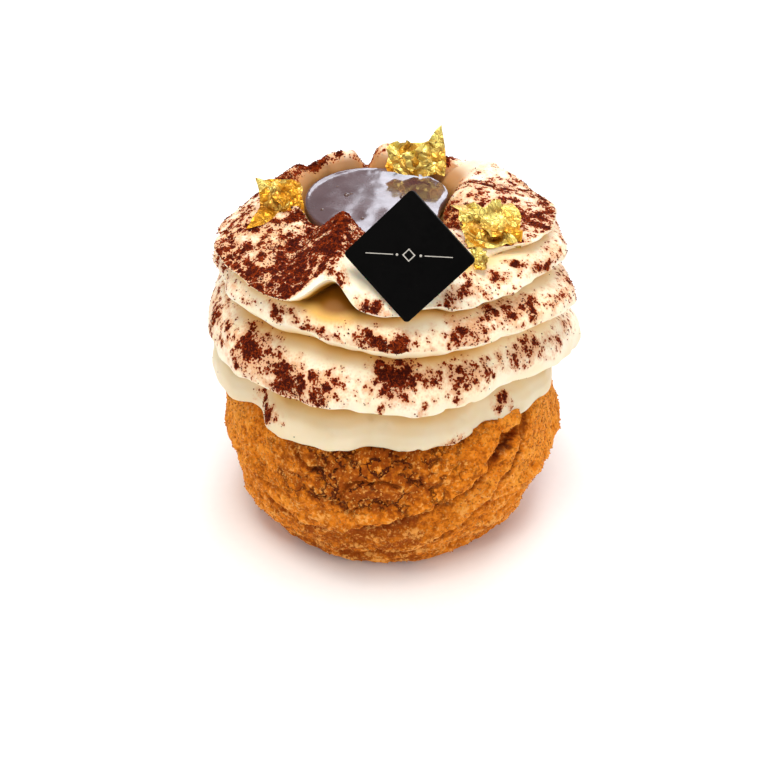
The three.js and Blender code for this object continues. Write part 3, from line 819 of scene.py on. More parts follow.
# %% Cocoa: how thick it lies
# Clumps on the ribbon: azimuth, height, half length, half height (mm), thickness.
CLUMPS = [
    (223, 59, 5.6, 4.8, 1.27), (230, 57.5, 3.7, 3.7, 0.85), (238, 55.5, 5.2, 4.6, 1.2),
    (250, 57, 4.4, 3.9, 0.9), (272, 59.5, 4.9, 4.6, 1.33), (283, 58.5, 3.7, 2.4, 0.8),
    (249.8, 55.1, 2.8, 2.6, 1.05), (295, 58, 4.4, 3.2, 1.01), (303, 57.5, 1.6, 2.2, 0.9),
    (309, 57.5, 1.5, 2, 0.95), (320, 56.5, 4.1, 2.8, 0.95), (292, 52.5, 1, 2.2, 0.74),
    (268, 53, 1.2, 2.2, 0.74), (279, 53, 1.1, 1.8, 0.69), (315.5, 43.5, 2.2, 2.3, 1.1),
    (331, 45, 0.6, 1.6, 0.7), (292, 39.5, 3, 1.2, 0.75), (220.5, 44, 2.2, 1.4, 1),
    (228, 43.2, 2.4, 2, 1.15), (233.5, 43.5, 1.3, 0.9, 0.7), (235, 71, 4.4, 1.5, 0.95),
    (243.8, 68.7, 1.5, 1, 0.95), (247.6, 67.9, 1.7, 1.1, 0.95), (253, 67.2, 2.2, 0.9, 0.8),
    (265, 69.2, 3.9, 2.7, 1.11), (272, 68.5, 4.1, 2.9, 1.11), (281, 67, 1.2, 1, 0.53),
    (293, 69, 3.7, 3.4, 1.01), (300, 69, 2.2, 2.7, 0.85), (306, 70, 2.2, 3.4, 1.01),
    (313, 69, 2.9, 3.4, 1.01), (320, 68.5, 3.2, 3.2, 1.01), (331, 66, 3.9, 1.8, 0.74),
    (343, 63, 1.2, 1.8, 0.64), (322.4, 76, 2.2, 2, 1.25), (333, 74, 3.8, 1.9, 0.88),
    (327, 74.6, 2.2, 1.3, 0.83), (310.5, 76, 2.5, 2, 0.99), (300.5, 77, 2.9, 2.2, 0.88),
    (295, 76.5, 2.9, 2.5, 0.83), (289, 75.5, 2.7, 2, 0.83), (304, 74.6, 1.8, 1.3, 0.73),
    (264, 75.3, 3.4, 2.5, 0.99), (249, 80.6, 1.2, 3.2, 0.92), (253, 78.8, 0.9, 2.2, 0.88),
    (197, 57, 3.2, 4.9, 0.8), (205, 57, 1.8, 3.7, 0.53), (190, 67, 3.7, 3.7, 0.64),
    (185, 60, 3.7, 3.7, 0.64), (214, 73, 3.4, 1.1, 0.52), (327, 60, 2.2, 1.8, 0.8),
]


def clump_thickness(points, azimuths, heights):
    """How thick the placed clumps lie at each point: the most that any of them gives."""
    most = np.zeros(len(points))
    out = np.hypot(points[:, 0], points[:, 1])
    stray_x = 2.2 * noise_at(points, 3.4, 31.0) + 1.1 * noise_at(points, 1.5, 37.0)
    stray_z = 2.0 * noise_at(points, 3.1, 43.0) + 1.0 * noise_at(points, 1.4, 47.0)
    for at, height_mm, half_long, half_high, thick in CLUMPS:
        near = np.abs(turn_between(azimuths, at)) < 20
        near &= np.abs(heights - height_mm) < 9
        close = near & (np.abs(turn_between(azimuths, at)) < 1.5)
        close &= np.abs(heights - height_mm) < 0.8
        if not close.any():
            continue
        radius = out[close].max()
        along = (np.radians(turn_between(azimuths, at)) * radius + stray_x) / half_long
        across = np.hypot(heights - height_mm + stray_z, out - radius) / half_high
        lies = thick * np.exp(-((along ** 2 + across ** 2) ** 0.9))
        most[near] = np.maximum(most, lies)[near]
    return most


# %% Cocoa: patches and flecks
azimuth = np.degrees(np.arctan2(cream_points[:, 1], cream_points[:, 0])) % 360
pool_azimuth = np.degrees(np.arctan2(cream_points[:, 1] - POOL[1],
                                     cream_points[:, 0] - POOL[0])) % 360
height = cream_points[:, 2]
out = np.hypot(cream_points[:, 0], cream_points[:, 1])
patches = noise_at(cream_points, 7, 3.0)
blots = noise_at(cream_points, 3, 17.0)
# Flow runs slowly round the pastry and quickly down its side, so flecks lie along the lips.
flow = np.column_stack([np.cos(np.radians(azimuth)) * 25, np.sin(np.radians(azimuth)) * 25,
                        out - height])
flecks = 0.5 * noise_at(flow, 1.9, 12.0) + 0.25 * noise_at(cream_points, 1.5, 6.0)

# %% Cocoa: dusting on the petals
# Where the dusting is thicker: azimuth and half width in degrees, and how much more.
THICKER_DUST = [(205, 20, 0.16), (352, 13, 0.3), (235, 21, 0.4), (141, 15, 0.3), (238, 6, 0.12)]
inner_reach = 0.4 + 0.3 * bump(turn_between(pool_azimuth, 342), 26)
on_top = (q < turn) * soft_step(q, CREST_TURN - inner_reach, CREST_TURN - inner_reach + 0.25)
# The powder missed the front petal's flank, the pleated lobes and the start of the first turn.
flank_edge = azimuth - 241.5 - 1.3 * (35 - out)
clean = soft_step(flank_edge, 0, 3) * (1 - soft_step(azimuth, 285, 305))
clean += bump(turn_between(pool_azimuth, 31), 8)
clean += bump(turn_between(azimuth, 293), 24) * soft_step(-height, -81, -78)
dusting = 0.46 + 0.26 * patches + 0.45 * blots
for at, width, more in THICKER_DUST:
    dusting += more * bump(turn_between(azimuth, at), width)
dusting += 0.5 * bump(turn_between(azimuth, 333), 13) * bump(out - 18, 6)
dusting *= soft_step(cream_normals[:, 2], -0.45, 0.1)
dusting *= on_top * (1 - np.clip(clean, 0, 1))

# %% Cocoa: dust and clumps on the lips
# Sides where the lips caught more dust: azimuth and half width in degrees.
DUSTED_SIDES = [(203, 15), (345, 18), (90, 60)]
shoulder = bump(phase - 0.72, 0.2) * on_ribbon
lip_dust = shoulder * (0.2 + 0.16 * patches + 0.12 * blots) * soft_step(height, 42, 54)
sides = sum(bump(turn_between(azimuth, at), width) for at, width in DUSTED_SIDES)
lip_dust += (0.26 + 0.2 * blots) * sides * shoulder * soft_step(height, 48, 56)
# The notch under the folded front petal stays clean.
notch = bump(turn_between(azimuth, 251), 10) * bump(height - 74, 3.4)
lip_dust *= 1 - notch
clumps = clump_thickness(cream_points, azimuth, height) * (on_ribbon | (q < turn))
clumps *= 1 - 0.9 * (on_ribbon & (phase < 0.3))
amount = np.maximum(np.maximum(dusting, lip_dust), clumps)
thickness = np.clip(amount + flecks * soft_step(amount, 0.05, 0.4) * 0.6, 0, 1.3)
store_values(cream, "cocoa", thickness)
print("cocoa covers", round(float((thickness > 0.5).mean()) * 100), "% of the points")

# %% [markdown]
# Three more numbers tell the material where the cream is darker than its own ivory. Two are
# painted shade: in the hollow between two lips and under the folded front petal, and on the
# lowest turn, which the pastry itself shades. The third makes the inside of the well darker
# towards the pool.

# %% Cream: painted shade in hollows and on the lowest turn, and a darker well
low_turn = soft_step(-height, -52, -44)
# Painted shade: in the recess under each lip, wider on the lowest turn, inside the well and deepest
# in the notch under the folded front petal.
hollow_shade = bump((phase - 0.29) / (1 + 0.8 * low_turn), 0.2) * on_ribbon
hollow_shade *= 1 - 0.45 * bump(turn_between(azimuth, 325), 18)
hollow_shade = np.maximum(hollow_shade, 0.7 * (q < CREST_TURN) * soft_step(-height, -80, -74))
hollow_shade += 2.1 * notch * on_ribbon * soft_step(phase, 0, 0.15)
store_values(cream, "hollow_shade", np.clip(hollow_shade, 0, 2))
# Painted shade on the lowest turn.
store_values(cream, "lowest", low_turn * (q > turn))
# The inside of the well is darker towards the pool.
store_values(cream, "darker_well_wall", (q < CREST_TURN) * (1 - soft_step(height, 77, 81)))

# %% [markdown]
# Whipped cream is fat, water and air: ivory, soft and slightly translucent. The stored hollow
# number paints shade into its colour: a warm yellow in the folds, where light goes through
# the cream many times, and a dark brown in the notch under the front petal. Cocoa powder is
# matt and red-brown, nearly black where it is thick and wetted, and tan where a thin dust
# lets the cream show through. The stored thickness is roughened and a threshold cuts it into
# flecks. Cocoa is milled to about 0.02 mm, far too fine to show, so the flecks are drawn as
# its little lumps instead: dots 0.6 and 1.8 mm apart and specks of 0.3 mm.


# %% Cream: round dots for the powder
def dots(tree, size_mm, offset, stretch):
    """Round dots about size_mm apart: 1 in the middle of each, falling to 0 between them."""
    place = add_node(tree, "TexCoord", output="Object")
    place = add_node(tree, "Mapping", {"Vector": place, "Location": (offset, offset, offset),
                                       "Scale": (1, 1, stretch)})
    gap = add_node(tree, "TexVoronoi", {"Vector": place, "Scale": 1 / (size_mm * MM)})
    return add_node(tree, "MapRange", {"Value": gap, **from_to(0.08, 0.85, 1, 0)}, **SOFT_ENDS)


# %% Cream: where the powder's flecks lie
whipped_cream, tree, shader = new_material(
    "whipped_cream_with_cocoa", IOR=1.45, Specular_IOR_Level=0.18, Subsurface_Weight=0.3,
    Subsurface_Radius=(1.0, 0.55, 0.25), Subsurface_Scale=2.5 * MM)
cocoa, hollow_shade_here, lowest, darker_well_wall = (
    add_node(tree, "Attribute", output="Fac", attribute_name=name)
    for name in ("cocoa", "hollow_shade", "lowest", "darker_well_wall"))
speck = spots(tree, 0.3, 2.0)
# How much each pattern adds to the stored thickness, or takes from it.
uneven = 0.0
for pattern, roughness in ((dots(tree, 1.8, 0.0, 0.75), from_to(0, 1, -0.3, 0.3)),
                           (dots(tree, 0.6, 0.4, 0.8), from_to(0, 1, -0.2, 0.2)),
                           (speck, from_to(0.2, 0.8, -0.15, 0.15))):
    more = add_node(tree, "MapRange", {"Value": pattern, **roughness}, **SOFT_ENDS)
    uneven = add_node(tree, "Math", {0: uneven, 1: more}, operation="ADD")
has_any = add_node(tree, "MapRange", {"Value": cocoa, **from_to(0.02, 0.16)}, **SOFT_ENDS)
uneven = add_node(tree, "Math", {0: uneven, 1: has_any}, operation="MULTIPLY")
laid = add_node(tree, "Math", {0: cocoa, 1: uneven}, operation="ADD")
flecks_here = add_node(tree, "MapRange", {"Value": laid, **from_to(0.49, 0.56)}, **SOFT_ENDS)
thick_here = add_node(tree, "MapRange", {"Value": laid, **from_to(0.54, 0.95)}, **SOFT_ENDS)

# %% Cream: the thin film of dust between the flecks
blurred = add_node(tree, "Math", {0: uneven, 1: 0.4}, operation="MULTIPLY")
blurred = add_node(tree, "Math", {0: cocoa, 1: blurred}, operation="ADD")
film = add_node(tree, "MapRange", {"Value": blurred, **from_to(-0.05, 0.5, 0.0, 0.74)}, **SOFT_ENDS)
clean_edge = add_node(tree, "MapRange", {"Value": cocoa, **from_to(0.0, 0.15)}, **SOFT_ENDS)
film = add_node(tree, "Math", {0: film, 1: clean_edge}, operation="MULTIPLY")

# %% Cream: colours
ivory = lay_tints(tree, "#FDF1D8", [(spots(tree, 7, 2.0), from_to(0.35, 0.65), "#FBEACA")])
# Painted shade: warm yellow in the hollows, dark brown in the notch and a duller tone on the lowest
# turn.
shaded = lay_tints(tree, ivory, [
    (hollow_shade_here, from_to(0.05, 0.95, 0.0, 0.9), "#E3B24A"),
    (hollow_shade_here, from_to(0.8, 1.7, 0.0, 0.95), "#8C5400"),
    (lowest, from_to(0, 1, 0.0, 0.4), "#D0BA8E"),
    # Darker brown on the inside of the well, towards the pool.
    (darker_well_wall, from_to(0.1, 0.9, 0.0, 0.85), "#A86A2C"),
])
dusted = add_node(tree, "Mix", {0: film, 6: shaded, 7: "#DD955C"}, **COLOURS)
powder = add_node(tree, "Mix", {0: thick_here, 6: "#96330A", 7: "#440D02"}, **COLOURS)
covered = add_node(tree, "Mix", {0: flecks_here, 6: dusted, 7: powder}, **COLOURS)
tree.links.new(covered, shader.inputs["Base Color"])

# %% Cream: satin froth and matt powder
rough = add_node(tree, "MapRange", {"Value": flecks_here, **from_to(0, 1, 0.42, 0.95)}, **SOFT_ENDS)
tree.links.new(rough, shader.inputs["Roughness"])
grainy = add_node(tree, "Math", {0: flecks_here, 1: speck}, operation="MULTIPLY")
powder_bump = add_node(tree, "Bump", {"Height": grainy, "Strength": 0.8, "Distance": 0.25 * MM})
froth = add_node(tree, "Bump", {"Height": spots(tree, 0.5, 3.0, 0.2), "Normal": powder_bump,
                                "Strength": 0.25, "Distance": 0.08 * MM})
tree.links.new(froth, shader.inputs["Normal"])
for name in ("turn", "down"):
    cream.data.attributes.remove(cream.data.attributes[name])
hand_over(cream, "cream_ribbon", whipped_cream, "cream", "piped_cream")
smooth_shading(cream)

# %% [markdown]
# ## Grains, seeds and crumbs
# Up close, powder stands up from the surface. One small faceted lump is modelled once and
# copied thousands of times onto the cream where the cocoa is thick. It is drawn far
# coarser than a real grain, which would be too fine to see. The vanilla seeds in the cream
# and the sugar crumbs on the bun are scattered in the same way. Each kind is one mesh, and
# the random numbers start from a fixed seed, so the same pastry comes out every time.


# %% Scatter helper
def scatter(name, count, places, directions, chances, size_mm, faces, seed, flat=1.0):
    """Copies a small lump onto points picked by their chances, as one mesh."""
    chooser = np.random.default_rng(seed)
    deselect_all()
    if faces == "grain":
        bpy.ops.mesh.primitive_cylinder_add(vertices=3, radius=0.6, depth=0.8)
    else:
        bpy.ops.mesh.primitive_ico_sphere_add(subdivisions=1, radius=0.5)
    lump = bpy.context.object
    lump_points = read_points(lump) * MM
    lump_faces = [list(face.vertices) for face in lump.data.polygons]
    picked = chooser.choice(len(places), count, p=chances / chances.sum())
    sizes = chooser.uniform(size_mm[0], size_mm[1], count)
    all_points, all_faces = [], []
    for n, (at, size) in enumerate(zip(picked, sizes)):
        up = Vector(directions[at])
        turned = up.to_track_quat("Z", "Y") @ Euler(chooser.uniform(0, 6.3, 3)).to_quaternion()
        shape = lump_points * chooser.uniform(0.65, 1.25, 3)
        shape = shape @ np.array(turned.to_matrix()).T
        shape -= np.outer(shape @ directions[at], directions[at]) * (1 - flat)
        slide = chooser.uniform(-0.35, 0.35, 3)
        slide -= directions[at] * (slide @ directions[at])
        centre = places[at] + slide + directions[at] * size * 0.12
        first = n * len(lump_points)
        all_points.append(shape * size + centre)
        all_faces.extend([[first + i for i in face] for face in lump_faces])
    mesh = bpy.data.meshes.new(name)
    mesh.from_pydata(np.concatenate(all_points) * MM, [], all_faces)
    bpy.data.objects.remove(lump)
    piece = bpy.data.objects.new(name, mesh)
    bpy.context.collection.objects.link(piece)
    return piece


# %% Cocoa grains
# Dry cocoa powder: dead matt, red-brown, lighter where it is loose.
cocoa_powder, tree, shader = new_material("cocoa_powder", Roughness=0.95, IOR=1.45,
                                          Specular_IOR_Level=0.1)
powder_brown = lay_tints(tree, "#45100A", [(spots(tree, 1.1), from_to(0.35, 0.65), "#96380F")])
tree.links.new(powder_brown, shader.inputs["Base Color"])
grain_chance = np.clip(thickness - 0.45, 0, 1) + 0.01 * (thickness > 0.12)
cocoa_grains = scatter("cocoa_grains", 13000, cream_points, cream_normals, grain_chance,
                       (0.14, 0.36), "grain", 11)
hand_over(cocoa_grains, "cocoa_grains", cocoa_powder, "cream")

# %% Vanilla seeds
# Vanilla seeds: hard, slightly shiny and nearly black.
vanilla, tree, shader = new_material("vanilla_seed", Roughness=0.5, IOR=1.5)
tree.links.new(mottle(tree, 0.3, 2.0, "#1A120C", "#33241A"), shader.inputs["Base Color"])
seed_chance = (on_ribbon & (phase > 0.35) & (height > 38)) * 1.0
vanilla_seeds = scatter("vanilla_seeds", 90, cream_points, cream_normals, seed_chance,
                        (0.22, 0.4), "seed", 23, flat=0.5)
hand_over(vanilla_seeds, "vanilla_seeds", vanilla, "cream")

# %% Sugar crumbs
# Crumbs of toasted sugar dough: golden brown, with a faint shine from the sugar.
sugar, tree, shader = new_material("toasted_sugar_crumb", Roughness=0.7, IOR=1.5,
                                   Specular_IOR_Level=0.2)
toasted = lay_tints(tree, "#B4661E", [(spots(tree, 1.5), from_to(0.35, 0.65), "#D89444")])
tree.links.new(toasted, shader.inputs["Base Color"])
bun_normals = read_normals(bun)
crumb_chance = ((bun_points[:, 2] > 2) & (bun_points[:, 2] < 40)) * (0.25 + np.clip(crumbs, 0, 1))
crumb_chance *= 1 - np.clip(cracks + fold_shade, 0, 1)
sugar_crumbs = scatter("sugar_crumbs", 6000, bun_points, bun_normals, crumb_chance,
                       (0.22, 0.55), "crumb", 37)
hand_over(sugar_crumbs, "sugar_crumbs", sugar, "choux")

# %% [markdown]
# ## The coffee gel
# The pool is a soft-set gel of strong coffee, poured into the well and levelled off, with a
# meniscus at its edge and a few bubbles. It starts as a copy of the solid, which already
# has the well's outline. A subdivision surface rounds its rim, and slow ripples are added.
# The gel is cloudy inside and wet outside, so a clear coat lays a sharp gloss over a softer
# sheen.

# %% Gel: level and ripples
gel = copy_of_node("coffee_gel")
apply_modifier(gel, "SUBSURF", levels=3, render_levels=3)
gel_points = read_points(gel)
level = gel_points[:, 2].max()
from_rim = WELL_RADIUS - np.hypot(gel_points[:, 0] - POOL[0], gel_points[:, 1] - POOL[1])
at_top = soft_step(gel_points[:, 2], level - 1.2, level - 0.1)
ripples = 0.16 * noise_at(gel_points, 9, 2.0) + 0.05 * noise_at(gel_points, 3.5, 4.0)
meniscus = 0.3 * bump(from_rim - 0.6, 0.9)
gel_points[:, 2] += (ripples + meniscus) * at_top
write_points(gel, gel_points)
print("gel level:", round(float(level), 2), "mm")

# %% Gel: coffee jelly material
coffee_jelly, tree, shader = new_material(
    "coffee_jelly", IOR=1.38, Coat_Weight=1.0, Coat_Roughness=0.08, Coat_IOR=1.5)
tree.links.new(mottle(tree, 6, 2.0, "#43292B", "#5E4246"), shader.inputs["Base Color"])
cloudy = add_node(tree, "MapRange", {"Value": spots(tree, 4, 2.0, 0.5),
                                     **from_to(0.3, 0.7, 0.1, 0.3)}, **SOFT_ENDS)
tree.links.new(cloudy, shader.inputs["Roughness"])
jelly_bump = add_node(tree, "Bump", {"Height": spots(tree, 2.6, 2.0, 0.1), "Strength": 0.25,
                                     "Distance": 0.2 * MM})
tree.links.new(jelly_bump, shader.inputs["Normal"])
hand_over(gel, "coffee_gel_pool", coffee_jelly, "gel", "coffee_gel")
smooth_shading(gel)

# %% Gel bubbles
# Bubbles: place across and back from the pool's centre, and radius, in mm.
BUBBLES = [(-7.2, 2.4, 0.75), (-6.2, 3.0, 0.45), (-12.5, -4.5, 0.5), (5.5, 1.5, 0.7),
           (2.8, 4.4, 0.4), (-3.5, -8.5, 0.45), (-9.5, 6.5, 0.35)]
SUNK_PART = 0.35
deselect_all()
bubbles = []
for across, back, radius in BUBBLES:
    place = Vector((POOL[0] + across, POOL[1] + back, level - SUNK_PART * radius)) * MM
    bpy.ops.mesh.primitive_uv_sphere_add(segments=20, ring_count=12, radius=radius * MM,
                                         location=place)
    bubbles.append(bpy.context.object)
for bubble in bubbles:
    bubble.select_set(True)
bpy.ops.object.join()
gel_bubbles = bpy.context.object
bpy.ops.object.transform_apply(location=True, rotation=True, scale=True)
bpy.ops.object.shade_smooth()

# %% Gel bubbles: material
# A bubble's skin is the same gel, stretched thin and smooth, so it glitters.
bubble_skin, tree, shader = new_material("gel_bubble_skin", IOR=1.38, Roughness=0.05,
                                         Coat_Weight=1.0, Coat_Roughness=0.02)
tree.links.new(mottle(tree, 0.6, 2.0, "#3A201A", "#5A3A30"), shader.inputs["Base Color"])
hand_over(gel_bubbles, "gel_bubbles", bubble_skin, "gel")

# %% [markdown]
# ## The chocolate plaque
# A tempered chocolate sheet is cut into squares with slightly rounded corners, tinted nearly
# black. It leans back against the front petals on one corner. A cube is scaled to the plate,
# its four upright edges are rounded with a wide bevel and the rest with a fine one, and it
# is then turned on its corner, leaned back and moved to its place.

# %% Plaque: measures and pose
PLAQUE_SIDE = 19
PLAQUE_THICK = 1.6
PLAQUE_CORNER = 0.9
PLAQUE_EDGE = 0.16
PLAQUE_ROLL = math.radians(3)
PLAQUE_LEAN = math.radians(65.7)
PLAQUE_TURN = math.radians(-12)
PLAQUE_TIP = Vector((2.95, -38.6, 72.8))
middle_pose = (Matrix.Translation(PLAQUE_TIP * MM) @ Matrix.Rotation(PLAQUE_TURN, 4, "Z")
               @ Matrix.Rotation(PLAQUE_LEAN, 4, "X")
               @ Matrix.Translation(Vector((0, PLAQUE_SIDE * math.sqrt(0.5) * MM, 0)))
               @ Matrix.Rotation(PLAQUE_ROLL, 4, "Z"))
plaque_pose = middle_pose @ Matrix.Rotation(math.pi / 4, 4, "Z")


# %% Plaque: plate with rounded corners
def edges_where(piece, test):
    """Selects only the edges that pass a test on their two ends, in edit mode."""
    bpy.ops.mesh.select_all(action="DESELECT")
    bpy.ops.object.mode_set(mode="OBJECT")
    for edge in piece.data.edges:
        a, b = (piece.data.vertices[i].co / MM for i in edge.vertices)
        edge.select = test(a, b)
    bpy.ops.object.mode_set(mode="EDIT")


deselect_all()
bpy.ops.mesh.primitive_cube_add(size=MM)
plaque = bpy.context.object
plaque.scale = (PLAQUE_SIDE, PLAQUE_SIDE, PLAQUE_THICK)
bpy.ops.object.transform_apply(scale=True)
bpy.ops.object.mode_set(mode="EDIT")
bpy.ops.mesh.select_mode(type="EDGE")
edges_where(plaque, lambda a, b: abs(a.z - b.z) > 1)
bpy.ops.mesh.bevel(offset=PLAQUE_CORNER * MM, segments=8)
edges_where(plaque, lambda a, b: abs(a.z - b.z) < 0.01)
bpy.ops.mesh.bevel(offset=PLAQUE_EDGE * MM, segments=3)
bpy.ops.object.mode_set(mode="OBJECT")
plaque.data.transform(plaque_pose)
close_seams(plaque)
deselect_all()
plaque.select_set(True)
bpy.ops.object.shade_smooth_by_angle(angle=math.radians(50))

# %% Plaque: tempered chocolate material
# Tempered chocolate sets smooth against its plastic sheet, with a faint satin sheen. The
# black tint leaves almost nothing of its brown.
dark_chocolate, tree, shader = new_material("tempered_dark_chocolate", IOR=1.46,
                                            Specular_IOR_Level=0.05)
tree.links.new(mottle(tree, 5, 3.0, "#030303", "#070606"), shader.inputs["Base Color"])
satin = add_node(tree, "MapRange", {"Value": spots(tree, 1.5, 4.0),
                                    **from_to(0.3, 0.7, 0.4, 0.6)}, **SOFT_ENDS)
tree.links.new(satin, shader.inputs["Roughness"])
sheet_bump = add_node(tree, "Bump", {"Height": spots(tree, 0.8, 3.0), "Strength": 0.15,
                                     "Distance": 0.05 * MM})
tree.links.new(sheet_bump, shader.inputs["Normal"])
hand_over(plaque, "dark_chocolate_plaque", dark_chocolate, "chocolate", "chocolate_plaque")

# %% [markdown]
# The plaque's front carries a small plain ornament, printed in white cocoa butter: a diamond
# between two dots and two fine lines. Each part is a flat primitive, and the joined parts
# are extruded until they stand just proud of the chocolate.

# %% Plaque: printed ornament
PRINT_HEIGHT = 0.05
DIAMOND_SIDE, DIAMOND_LINE = 1.9, 0.22
DOT_RADIUS, DOT_AT = 0.26, 2.4
LINE_LENGTH, LINE_WIDTH, LINE_AT = 5.6, 0.17, 6
print_pose = middle_pose @ Matrix.Translation(Vector((0, 0.4, PLAQUE_THICK / 2 - 0.01)) * MM)
deselect_all()
bpy.ops.mesh.primitive_plane_add(size=DIAMOND_SIDE * MM, rotation=(0, 0, math.pi / 4))
diamond = bpy.context.object
bpy.ops.object.mode_set(mode="EDIT")
bpy.ops.mesh.inset(thickness=DIAMOND_LINE * MM)
bpy.ops.mesh.delete(type="FACE")
bpy.ops.object.mode_set(mode="OBJECT")
parts = [diamond]
for side in (-1, 1):
    bpy.ops.mesh.primitive_circle_add(vertices=16, radius=DOT_RADIUS * MM, fill_type="NGON",
                                      location=(side * DOT_AT * MM, 0, 0))
    parts.append(bpy.context.object)
    bpy.ops.mesh.primitive_plane_add(size=MM, location=(side * LINE_AT * MM, 0, 0))
    line = bpy.context.object
    line.scale = (LINE_LENGTH, LINE_WIDTH, 1)
    parts.append(line)
print("ornament parts:", len(parts))

# %% Plaque: joined and raised print
deselect_all()
for part in parts:
    part.select_set(True)
bpy.context.view_layer.objects.active = diamond
bpy.ops.object.join()
ornament = bpy.context.object
bpy.ops.object.transform_apply(location=True, rotation=True, scale=True)
bpy.ops.object.mode_set(mode="EDIT")
bpy.ops.mesh.select_all(action="SELECT")
bpy.ops.mesh.extrude_region_move(TRANSFORM_OT_translate={"value": (0, 0, PRINT_HEIGHT * MM)})
bpy.ops.object.mode_set(mode="OBJECT")
ornament.data.transform(print_pose)
close_seams(ornament)
# White-tinted cocoa butter: a thin matt print, off-white and a little uneven.
cocoa_butter, tree, shader = new_material("white_cocoa_butter_print", Roughness=0.5, IOR=1.46)
tree.links.new(mottle(tree, 0.7, 3.0, "#9A958D", "#D0CBC2"), shader.inputs["Base Color"])
hand_over(ornament, "plaque_ornament", cocoa_butter, "chocolate")

# %% [markdown]
# ## The gold leaf
# Edible gold leaf is beaten so thin that it crumples at a touch and lies in sharp little
# facets. Each flake starts as a coarse grid. Its points are nudged about and pushed up and
# down by noise and by random amounts, so that the flat faces between them catch the light
# one by one. The grid is then divided, its edge is torn by deleting the outer faces that a
# noise picks, and a solidify modifier gives it a thin body. A smaller sheet lies folded on
# the first.
#
# Leaf this thin is full of pinholes and creases finer than the mesh, which scatter light
# like a yellow pigment, so the shader is only about two thirds metal. A Voronoi texture
# adds smaller facets with painted reflection: each cell is painted paler or deeper gold.
# The cell edges and the crumple's low points get painted shade as dark folds.

# %% Gold leaf: colours
beaten_gold, tree, shader = new_material("beaten_gold_leaf", Metallic=0.62)
paleness, crease_shade = (add_node(tree, "Attribute", output="Fac", attribute_name=name)
                    for name in ("pale", "crease_shade"))
FACET_SIZE = 2.4
cells = {"Vector": wavering(tree, 2.5, 3), "Scale": 1 / (FACET_SIZE * MM)}
facets = add_node(tree, "TexVoronoi", cells, output="Color")
folds = add_node(tree, "TexVoronoi", cells, feature="DISTANCE_TO_EDGE")
facet_number = add_node(tree, "SeparateColor", {"Color": facets})
# Painted reflection: each facet is painted paler or deeper gold.
facet_reflection = add_node(tree, "MapRange", {"Value": facet_number, **from_to(0, 1, -0.45, 0.45)},
                      **SOFT_ENDS)
brightness = add_node(tree, "Math", {0: paleness, 1: facet_reflection}, operation="ADD")
leaf_colour = lay_tints(tree, "#E09C20", [
    (brightness, from_to(0.0, 0.9), "#FFEA80"),
    # Painted shade: dark lines on the cell edges and in the crumple's low points.
    (folds, from_to(0.0, 0.05, 0.8, 0.0), "#6A4408"),
    (crease_shade, from_to(0.45, 1.0, 0.0, 0.7), "#8A5408"),
])
tree.links.new(leaf_colour, shader.inputs["Base Color"])

# %% Gold leaf: sheen and creases
rough = add_node(tree, "MapRange", {"Value": spots(tree, 1.4), **from_to(0.3, 0.7, 0.26, 0.46)},
                 **SOFT_ENDS)
tree.links.new(rough, shader.inputs["Roughness"])
facet_height = add_node(tree, "MapRange", {"Value": folds, **from_to(0.0, 0.4)}, **SOFT_ENDS)
facet_bump = add_node(tree, "Bump", {"Height": facet_height, "Strength": 0.5,
                                     "Distance": 1.0 * MM})
crinkle = add_node(tree, "Bump", {"Height": spots(tree, 0.7), "Normal": facet_bump,
                                  "Strength": 0.6, "Distance": 0.15 * MM})
tree.links.new(crinkle, shader.inputs["Normal"])

# %% Gold leaf: measures
# Each flake: place, width and length, facet size, tilt and turn in degrees, seed, paleness,
# and its drawn-out corners as (corner across, corner along, pull across, pull along).
GOLD_FLAKES = {
    "gold_leaf_back": ((6.7, 18.8, 80.7), (13.6, 7.4), 1.9, 60, -4, 1, 0.45,
                       [(1, 1, -1.8, 3.9)]),
    "gold_leaf_left": ((-23.6, -1.6, 81), (9.4, 8.6), 1.6, 34, 12, 7, 0.05,
                       [(-1, -1, -4.2, -2.6), (-1, 1, -0.5, 1.5)]),
    "gold_leaf_right": ((21.8, -13.4, 81), (12.4, 10.6), 2.2, 28, 10, 12, 0.6,
                        [(-1, 1, -1.2, 0.8)]),
    "gold_leaf_scrap": ((19, -23.8, 78.9), (3.4, 4.6), 1.3, 36, 8, 20, 0.6, []),
}
LEAF_THICKNESS = 0.06
print("flakes of gold leaf:", len(GOLD_FLAKES))


# %% Gold leaf: crumpled grid
def crumpled_grid(size, facet, corners, seed):
    """A sheet of flat triangles, nudged about and up and down, with drawn-out corners."""
    chooser = np.random.default_rng(seed)
    deselect_all()
    cells = [max(3, round(side / facet)) for side in size]
    bpy.ops.mesh.primitive_grid_add(x_subdivisions=cells[0], y_subdivisions=cells[1], size=2)
    sheet = bpy.context.object
    flat = read_points(sheet) * MM
    u, v = flat[:, 0], flat[:, 1]
    nudge = chooser.uniform(-0.32, 0.32, (len(flat), 2)) * facet
    points = np.column_stack([u * size[0] / 2 + nudge[:, 0], v * size[1] / 2 + nudge[:, 1],
                              np.zeros(len(flat))])
    for across, along, pull_across, pull_along in corners:
        drawn = (np.maximum(u * across, 0) * np.maximum(v * along, 0)) ** 1.5
        points[:, 0] += drawn * pull_across
        points[:, 1] += drawn * pull_along
    points[:, 2] = facet * 0.75 * noise_at(points, 2.2 * facet, seed)
    points[:, 2] += chooser.uniform(-0.42, 0.42, len(flat)) * facet
    write_points(sheet, points)
    bpy.ops.object.mode_set(mode="EDIT")
    bpy.ops.mesh.select_all(action="SELECT")
    bpy.ops.mesh.quads_convert_to_tris(quad_method="FIXED_ALTERNATE")
    bpy.ops.mesh.subdivide(number_cuts=3)
    bpy.ops.object.mode_set(mode="OBJECT")
    points = read_points(sheet)
    points += 0.05 * facet * np.array([noise.noise_vector(Vector(p) / 0.5) for p in points])
    write_points(sheet, points)
    return sheet


